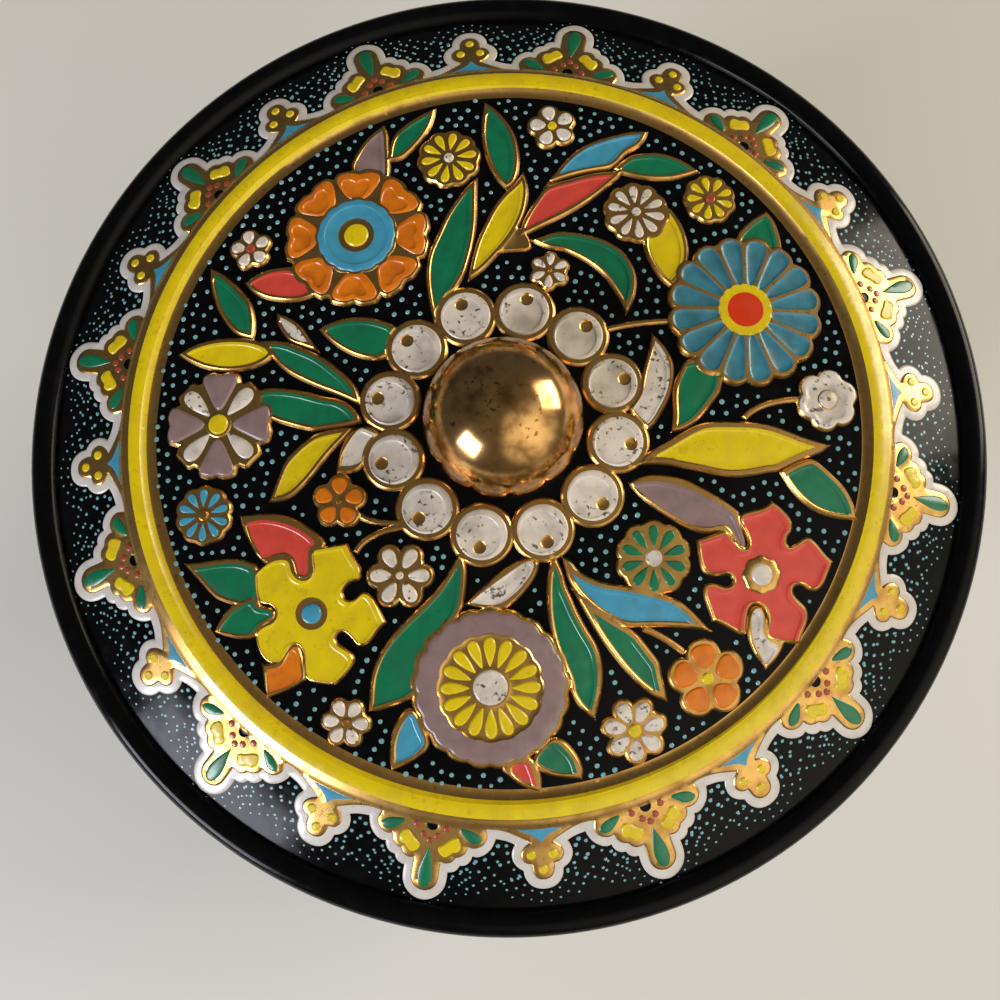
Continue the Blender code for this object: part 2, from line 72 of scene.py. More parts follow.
class Finish(Enum):
    """Finishes of the printed sheet, in the order of the material slots."""

    ENAMEL = "black enamel"
    GOLD = "gold lacquer"
    YELLOW = "yellow enamel"
    GREEN = "green enamel"
    CORAL = "coral enamel"
    BLUE = "blue enamel"
    TEAL = "teal enamel"
    MAUVE = "mauve enamel"
    ORANGE = "orange enamel"
    WHITE = "speckled white enamel"
    LINE = "white outline enamel"
    RED = "red enamel"
    RUST = "rust red enamel"
    TIN = "bare tinplate"

    @property
    def slot(self) -> int:
        """Index of its material slot."""
        return list(Finish).index(self)


def place(name: str, data: bpy.types.ID) -> Item:
    """Put a new object into the scene.

    Args:
        name: Its name.
        data: Its mesh, light or camera.

    Returns:
        The object.
    """
    item = bpy.data.objects.new(name, data)
    bpy.context.scene.collection.objects.link(item)
    return item


@dataclass(frozen=True)
class Colour:
    """A colour as a screen shows it, 0 to 255."""

    red: float
    green: float
    blue: float

    def linear(self) -> tuple[float, float, float, float]:
        """Return the colour as linear light with full cover."""
        shares = [value / 255.0 for value in (self.red, self.green, self.blue)]
        light = [s / 12.92 if s <= 0.04045 else ((s + 0.055) / 1.055) ** 2.4 for s in shares]
        return (light[0], light[1], light[2], 1.0)


class NodeKit:
    """Small helpers that add nodes to a tree and link them."""

    @staticmethod
    def fill(node: Node, **values: object) -> Node:
        """Set inputs of a node, named with low lines in place of spaces, and return it."""
        for name, value in values.items():
            node.inputs[name.replace("_", " ")].default_value = value
        return node

    @staticmethod
    def add(tree: Tree, kind: str, **values: object) -> Node:
        """Add a node and set its properties.

        Args:
            tree: The tree that takes the node.
            kind: The node's type.
            **values: Properties of the node.

        Returns:
            The new node.
        """
        node = tree.nodes.new(kind)
        for name, value in values.items():
            setattr(node, name, value)
        return node

    @staticmethod
    def maths(tree: Tree, operation: str, first: object, second: object = None) -> Socket:
        """Add a Math node, with sockets or numbers as its inputs.

        Args:
            tree: The tree that takes the node.
            operation: The operation.
            first: The first input.
            second: The second input, where the operation has one.

        Returns:
            The node's output.
        """
        node = NodeKit.add(tree, "ShaderNodeMath", operation=operation)
        for index, value in enumerate((first, second)):
            if isinstance(value, Socket):
                tree.links.new(value, node.inputs[index])
            elif value is not None:
                node.inputs[index].default_value = value
        return node.outputs[0]

    @staticmethod
    def attribute(tree: Tree, name: str, kind: str) -> Socket:
        """Add a node that reads an attribute of the mesh.

        Args:
            tree: The tree that takes the node.
            name: The attribute.
            kind: Its data type.

        Returns:
            The node's output.
        """
        node = NodeKit.add(tree, "GeometryNodeInputNamedAttribute", data_type=kind)
        node.inputs["Name"].default_value = name
        return node.outputs["Attribute"]


class PrintWear:
    """Shader group that mottles a printed colour and strews it with fine specks."""

    NAME = "print wear"
    # Scale and detail of each noise, and the range of it that turns from clear to covered
    CLOUDS = (420.0, 4.0, 0.35, 0.75)
    SPECKS = (1500.0, 3.0, 0.56, 0.66)
    PATCHES = (260.0, 2.0, 0.40, 0.56)
    DULLING = 0.12

    @classmethod
    def group(cls) -> Tree:
        """Return the group, built on its first use."""
        found = bpy.data.node_groups.get(cls.NAME)
        return found if found else cls._build()

    @classmethod
    def _build(cls) -> Tree:
        """Build the group.

        Returns:
            The shader node group.
        """
        tree = bpy.data.node_groups.new(cls.NAME, "ShaderNodeTree")
        face = tree.interface
        for name, kind in (("Colour", "NodeSocketColor"), ("Stain", "NodeSocketColor"),
                           ("Mottle", "NodeSocketFloat"), ("Specks", "NodeSocketFloat"),
                           ("Gloss", "NodeSocketFloat")):
            face.new_socket(name=name, in_out="INPUT", socket_type=kind)
        face.new_socket(name="Colour", in_out="OUTPUT", socket_type="NodeSocketColor")
        face.new_socket(name="Roughness", in_out="OUTPUT", socket_type="NodeSocketFloat")
        start = NodeKit.add(tree, "NodeGroupInput")
        end = NodeKit.add(tree, "NodeGroupOutput")
        own = NodeKit.add(tree, "ShaderNodeTexCoord").outputs["Object"]

        def cover(scale: float, detail: float, low: float, high: float) -> Socket:
            """Noise on the object's own coordinates, with a range of it turned into 0 to 1."""
            noise = NodeKit.fill(NodeKit.add(tree, "ShaderNodeTexNoise"), Scale=scale, Detail=detail)
            tree.links.new(own, noise.inputs["Vector"])
            node = NodeKit.add(tree, "ShaderNodeMapRange", interpolation_type="SMOOTHSTEP")
            NodeKit.fill(node, From_Min=low, From_Max=high)
            tree.links.new(noise.outputs["Fac"], node.inputs["Value"])
            return node.outputs["Result"]

        cloud, specks, patches = (cover(*form) for form in (cls.CLOUDS, cls.SPECKS, cls.PATCHES))
        mottle = NodeKit.maths(tree, "MULTIPLY", cloud, start.outputs["Mottle"])
        strewn = NodeKit.maths(tree, "MULTIPLY", specks, patches)
        strewn = NodeKit.maths(tree, "MULTIPLY", strewn, start.outputs["Specks"])
        share = NodeKit.maths(tree, "MAXIMUM", mottle, strewn)
        mix = NodeKit.add(tree, "ShaderNodeMix", data_type="RGBA")
        tree.links.new(share, mix.inputs["Factor"])
        tree.links.new(start.outputs["Colour"], mix.inputs["A"])
        tree.links.new(start.outputs["Stain"], mix.inputs["B"])
        tree.links.new(mix.outputs["Result"], end.inputs["Colour"])
        rough = NodeKit.maths(tree, "MULTIPLY", cloud, cls.DULLING)
        rough = NodeKit.maths(tree, "ADD", rough, start.outputs["Gloss"])
        tree.links.new(rough, end.inputs["Roughness"])
        return tree


@dataclass(frozen=True)
class Paint:
    """A printed or bare finish of the sheet.

    Attributes:
        name: Name of the material.
        colour: Its colour.
        stain: The colour of its mottling and specks.
        mottle: How strong the mottling is.
        specks: How strong the specks are.
        gloss: Lowest roughness.
        metallic: 1 for bare or lacquered metal, 0 for enamel.
        shine: Strength of its reflection, 0.5 for plain glass.
    """

    name: str
    colour: Colour
    stain: Colour
    mottle: float = 0.25
    specks: float = 0.3
    gloss: float = 0.22
    metallic: float = 0.0
    shine: float = 0.5

    def build(self) -> Material:
        """Build the material.

        Returns:
            The material.
        """
        material = bpy.data.materials.new(self.name)
        material.use_nodes = True
        tree = material.node_tree
        surface = tree.nodes["Principled BSDF"]
        NodeKit.fill(surface, Metallic=self.metallic, Specular_IOR_Level=self.shine)
        wear = NodeKit.add(tree, "ShaderNodeGroup", node_tree=PrintWear.group())
        NodeKit.fill(wear, Colour=self.colour.linear(), Stain=self.stain.linear(), Mottle=self.mottle,
                     Specks=self.specks, Gloss=self.gloss)
        tree.links.new(wear.outputs["Colour"], surface.inputs["Base Color"])
        tree.links.new(wear.outputs["Roughness"], surface.inputs["Roughness"])
        return material


PAINTS = {
    Finish.ENAMEL: Paint("black enamel", Colour(6, 6, 7), Colour(12, 12, 13), 0.5, 0.0, 0.11, 0.0, 0.09),
    Finish.GOLD: Paint("gold lacquer", Colour(208, 166, 96), Colour(150, 108, 54), 0.7, 0.6, 0.25, 1.0),
    Finish.YELLOW: Paint("yellow enamel", Colour(208, 184, 6), Colour(158, 122, 10), 0.30, 0.4),
    Finish.GREEN: Paint("green enamel", Colour(7, 106, 70), Colour(8, 74, 54), 0.5, 0.3),
    Finish.CORAL: Paint("coral enamel", Colour(196, 66, 54), Colour(158, 50, 38), 0.35, 0.3),
    Finish.BLUE: Paint("blue enamel", Colour(62, 142, 172), Colour(42, 102, 128), 0.4, 0.2),
    Finish.TEAL: Paint("teal enamel", Colour(56, 120, 138), Colour(40, 84, 98), 0.7, 0.3),
    Finish.MAUVE: Paint("mauve enamel", Colour(132, 108, 107), Colour(100, 80, 78), 0.5, 0.3),
    Finish.ORANGE: Paint("orange enamel", Colour(206, 112, 10), Colour(158, 74, 8), 0.6, 0.3),
    Finish.WHITE: Paint("speckled white enamel", Colour(208, 198, 186), Colour(86, 76, 64), 0.42, 1.0),
    Finish.LINE: Paint("white outline enamel", Colour(198, 192, 186), Colour(150, 142, 134), 0.35, 0.3),
    Finish.RED: Paint("red enamel", Colour(196, 48, 5), Colour(170, 40, 6), 0.2, 0.2),
    Finish.RUST: Paint("rust red enamel", Colour(150, 66, 38), Colour(110, 46, 26), 0.4, 0.4),
    Finish.TIN: Paint("bare tinplate", Colour(196, 197, 200), Colour(168, 168, 170), 0.5, 0.3, 0.26, 1.0),
}
STIPPLE_PAINT = Paint("aqua stipple", Colour(112, 160, 166), Colour(84, 122, 128), 0.5, 0.0)
BRASS_PAINT = Paint("polished brass", Colour(204, 160, 102), Colour(122, 84, 46), 0.95, 0.9, 0.13, 1.0)


class Plan:
    """Plan outlines, as arrays of x and y in millimetres that run anticlockwise."""

    # Usual distance between the points of a round outline
    STEP = 0.42
    # Limits of a moved outline: its sharpest fold and mitre, and the share of the step it keeps clear
    FOLD = 0.2
    MITRE = 0.35
    ROOM = 0.93
    # Points nearer to each other than this fall together
    NEAR = 0.02
    # How far the pressing lies from the print
    SLIP = np.array([-0.3, -0.25])

    @staticmethod
    def polar(far: Array, turn: Array) -> Array:
        """Points at some distances in some directions, given in radians."""
        return np.stack([far * np.cos(turn), far * np.sin(turn)], axis=1)

    @staticmethod
    def unit(ways: Array, least: float = 1e-9) -> Array:
        """Make vectors one long, or shorter where they are below a least length."""
        return ways / np.maximum(np.linalg.norm(ways, axis=1), least)[:, None]

    @staticmethod
    def turned(points: Array, bearing: float) -> Array:
        """Turn points about the axis.

        Args:
            points: The points.
            bearing: The turn in degrees, anticlockwise.

        Returns:
            The turned points.
        """
        turn = math.radians(bearing)
        across = np.array([[math.cos(turn), math.sin(turn)], [-math.sin(turn), math.cos(turn)]])
        return points @ across

    @classmethod
    def loop(cls, reach: Callable[[Array], Array], size: float, step: float = 0.0) -> Array:
        """Outline whose distance from its middle follows a rule.

        Args:
            reach: Gives the distance for an array of angles in degrees.
            size: Rough radius, which sets the number of points.
            step: Distance between points, or 0 for the usual one.

        Returns:
            The outline round 0, 0.
        """
        count = max(10, int(round(2.0 * math.pi * size / (step or cls.STEP))))
        angle = np.arange(count) * (360.0 / count)
        return cls.polar(reach(angle), np.radians(angle))

    @classmethod
    def circle(cls, radius: float, step: float = 0.0) -> Array:
        """Round outline about 0, 0."""
        return cls.loop(lambda angle: np.full(len(angle), radius), radius, step)

    @classmethod
    def lobed(cls, size: float, count: int, depth: float, turn: float) -> Array:
        """Outline of round lobes with sharp valleys between them.

        Args:
            size: Radius to the tips of the lobes.
            count: Number of lobes.
            depth: Depth of the valleys, as a share of the size.
            turn: Direction of one lobe in degrees.

        Returns:
            The outline round 0, 0.
        """
        def reach(angle: Array) -> Array:
            """Distance to the outline at an angle."""
            wave = np.abs(np.cos(np.radians((angle - turn) * count / 2.0)))
            return size * (1.0 - depth + depth * wave ** 0.7)
        return cls.loop(reach, size)

    @staticmethod
    def rounded(corners: list[Pair], rounds: int = 2) -> Array:
        """Round the corners of a polygon off by cutting them.

        Args:
            corners: The polygon's corners, anticlockwise.
            rounds: How often the corners are cut.

        Returns:
            The smoother outline.
        """
        points = np.array(corners, dtype=float)
        for _ in range(rounds):
            ahead = np.roll(points, -1, axis=0)
            points = np.stack([0.75 * points + 0.25 * ahead, 0.25 * points + 0.75 * ahead], axis=1)
            points = points.reshape(-1, 2)
        return points

    @staticmethod
    def petal(start: float, end: float, width: float, turn: float, taper: float = 0.0,
              count: int = 20) -> Array:
        """Oval or drop that points away from the middle of its flower.

        Args:
            start: Distance of its inner end.
            end: Distance of its outer end.
            width: Its greatest width.
            turn: Its direction in degrees.
            taper: How much wider its outer half is, 0 for an oval and up to 1.
            count: Number of points.

        Returns:
            The outline round the flower's middle.
        """
        angle = np.arange(count) * (2.0 * math.pi / count)
        along = (start + end) / 2.0 + (end - start) / 2.0 * np.cos(angle)
        half = 0.5 * width * np.sin(angle) * (1.0 + taper * np.cos(angle)) / (1.0 + 0.25 * taper)
        return Plan.turned(np.stack([along, half], axis=1), turn)

    @classmethod
    def ribbon(cls, points: list[Pair], width: float) -> Array:
        """Band of even width along a bent line of three points.

        Args:
            points: Start, middle and end of the line.
            width: Its width.

        Returns:
            The outline.
        """
        first, middle, last = (np.array(point) for point in points)
        pull = 2.0 * middle - 0.5 * (first + last)
        share = np.linspace(0.0, 1.0, 14)[:, None]
        line = (1 - share) ** 2 * first + 2 * share * (1 - share) * pull + share ** 2 * last
        ahead = cls.unit(np.gradient(line, axis=0))
        left = np.stack([-ahead[:, 1], ahead[:, 0]], axis=1) * (width / 2.0)
        return np.concatenate([line - left, (line + left)[::-1]])

    @staticmethod
    def depth(points: Array, outline: Array, bare: int = 0) -> Array:
        """How deep points lie inside an outline.

        Args:
            points: The points.
            outline: The outline.
            bare: How many of its last sides only close it and are no edge.

        Returns:
            The distance to the outline for each point, below zero outside it.
        """
        nearest = np.full(len(points), np.inf)
        inside = np.zeros(len(points), dtype=bool)
        for side, (start, end) in enumerate(zip(outline, np.roll(outline, -1, axis=0))):
            edge = end - start
            if side < len(outline) - bare:
                offset = points - start
                share = np.clip(offset @ edge / max(float(edge @ edge), 1e-12), 0.0, 1.0)
                gap = offset - np.outer(share, edge)
                nearest = np.minimum(nearest, gap[:, 0] ** 2 + gap[:, 1] ** 2)
            if start[1] != end[1]:
                crosses = (start[1] > points[:, 1]) != (end[1] > points[:, 1])
                level = start[0] + (points[:, 1] - start[1]) * edge[0] / edge[1]
                inside ^= crosses & (points[:, 0] < level)
        return np.where(inside, 1.0, -1.0) * np.sqrt(nearest)

    @classmethod
    def inset(cls, outline: Array, step: float,
              depth: Optional[Callable[[Array], Array]] = None) -> Array:
        """Move an outline inwards, or outwards for a step below zero.

        Args:
            outline: The outline.
            step: How far each side moves.
            depth: A faster measure of the depth inside the outline, if there is one.

        Returns:
            The moved outline, without the points that end up too near the old one.
        """
        ahead = cls.unit(np.roll(outline, -1, axis=0) - outline)
        normal = np.stack([-ahead[:, 1], ahead[:, 0]], axis=1)
        middle = cls.unit(normal + np.roll(normal, 1, axis=0), cls.FOLD)
        lean = np.maximum(np.einsum("ij,ij->i", middle, normal), cls.MITRE)
        moved = outline + middle * (step / lean)[:, None]
        room = depth(moved) if depth else cls.depth(moved, outline)
        return moved[room > cls.ROOM * step] if step > 0.0 else moved[room < cls.ROOM * step]

    @staticmethod
    def anticlockwise(outline: Array) -> Array:
        """Give an outline the usual sense, without points that fall together.

        Args:
            outline: The outline.

        Returns:
            The outline, anticlockwise.
        """
        apart = np.linalg.norm(np.roll(outline, -1, axis=0) - outline, axis=1) > Plan.NEAR
        outline = outline[apart]
        ahead = np.roll(outline, -1, axis=0)
        area = np.sum(outline[:, 0] * ahead[:, 1] - ahead[:, 0] * outline[:, 1])
        return outline if area > 0.0 else outline[::-1]

    @classmethod
    def smooth(cls, corners: Array, rounds: int = 2) -> Array:
        """Rounded outline of a polygon, anticlockwise."""
        return cls.anticlockwise(cls.rounded(corners, rounds))


@dataclass
class Patch:
    """A printed and pressed area of the lid's sheet.

    Attributes:
        outline: Its plan outline.
        finish: Its finish, or none to keep what lies below.
        level: Height of its flat above the dome, or none for print alone.
        edge: Width of the slope at its edge.
        swell: Extra height of its middle.
        reach: Distance over which it swells.
        core: Middle and radius, for a disc.
        sectors: Direction of one mirror line and number of repeats, for a ring of mirrored repeats.
    """

    outline: Array
    finish: Optional[Finish]
    level: Optional[float] = None
    edge: float = 0.25
    swell: float = 0.0
    reach: float = 1.0
    core: Optional[tuple[float, float, float]] = None
    sectors: Optional[tuple[float, int]] = None

    SHOULDER = 0.45
    SHOULDER_RISE = 0.65

    @classmethod
    def disc(cls, middle: Array, radius: float, finish: Optional[Finish], level: Optional[float] = None,
             edge: float = 0.25, swell: float = 0.0, step: float = 0.0) -> "Patch":
        """Make a round patch.

        Args:
            middle: Its middle.
            radius: Its radius.
            finish: Its finish.
            level: Height of its flat above the dome.
            edge: Width of the slope at its edge.
            swell: Extra height of its middle.
            step: Distance between the points of its outline, or 0 for the usual one.

        Returns:
            The patch.
        """
        outline = Plan.circle(radius, step) + middle
        core = (float(middle[0]), float(middle[1]), radius)
        return cls(outline, finish, level, edge, swell, min(1.0, radius), core)

    def contours(self) -> list[Array]:
        """Lines of the mesh that this patch needs.

        Returns:
            Its outline, and the lines along its slope.
        """
        lines = [self.outline]
        if self.level is not None:
            for step in (self.SHOULDER * self.edge, self.edge):
                line = self._inner(step)
                if len(line) > 3:
                    lines.append(line)
        return lines

    def _inner(self, step: float) -> Array:
        """Outline moved inwards by a step."""
        if self.core is None:
            return Plan.inset(self.outline, step, self.depth)
        middle = np.array(self.core[:2])
        return middle + (self.outline - middle) * (1.0 - step / self.core[2])

    def depth(self, points: Array) -> Array:
        """How deep points lie inside the patch.

        Args:
            points: The points.

        Returns:
            The distance to the outline for each point, below zero outside it.
        """
        if self.core is not None:
            return self.core[2] - np.linalg.norm(points - np.array(self.core[:2]), axis=1)
        if self.sectors is None:
            return Plan.depth(points, self.outline)
        start, count = self.sectors
        pitch = 360.0 / count
        bearing = np.degrees(np.arctan2(points[:, 1], points[:, 0])) - start
        fold = np.radians(np.abs((bearing + pitch / 2) % pitch - pitch / 2))
        folded = Plan.polar(np.linalg.norm(points, axis=1), fold)
        line = Plan.turned(self.outline, -start)
        bearing = np.degrees(np.arctan2(line[:, 1], line[:, 0]))
        part = (bearing > -pitch / 4) & (bearing < 0.75 * pitch)
        first = int(np.argmax(part & ~np.roll(part, 1)))
        chain = np.roll(line, -first, axis=0)[:int(part.sum())]
        return Plan.depth(folded, np.concatenate([chain, np.zeros((1, 2))]), 2)

    def inside(self, points: Array, margin: float = 0.0) -> Array:
        """Indices of the points within the patch's box and a margin round it."""
        low, high = self.outline.min(axis=0) - margin, self.outline.max(axis=0) + margin
        return np.nonzero(((points >= low) & (points <= high)).all(axis=1))[0]

    def press(self, points: Array, lift: Array) -> None:
        """Press the patch into the sheet.

        Args:
            points: Plan points.
            lift: Their heights above the dome, which are changed.
        """
        if self.level is None:
            return
        near = self.inside(points)
        if not len(near):
            return
        depth = self.depth(points[near])
        share = np.clip(depth / self.edge, 0.0, 1.0)
        low = share / self.SHOULDER * self.SHOULDER_RISE
        high = self.SHOULDER_RISE + (share - self.SHOULDER) / (1 - self.SHOULDER) * (1 - self.SHOULDER_RISE)
        share = np.where(share < self.SHOULDER, low, high)
        rise = 1.0 - (1.0 - np.clip(depth / self.reach, 0.0, 1.0)) ** 2
        target = self.level + self.swell * rise
        lift[near] = np.where(depth > 0.0, lift[near] * (1 - share) + target * share, lift[near])


@dataclass(frozen=True)
class Leaf:
    """A leaf of the lid's field, in millimetres from the middle of the lid.

    Attributes:
        finish: Its enamel.
        tip: Its outer end.
        right: Points of one edge from the tip to the root.
        root: Its inner end.
        left: Points of the other edge from the tip to the root.
        rim: Width of its gold edge.
    """

    finish: Finish
    tip: Pair
    right: Points
    root: Pair
    left: Points
    rim: float = 0.72

    def outline(self) -> Array:
        """Outline with a sharp tip and root."""
        return Plan.smooth([self.tip, self.tip, *self.right, self.root, self.root, *self.left[::-1]])


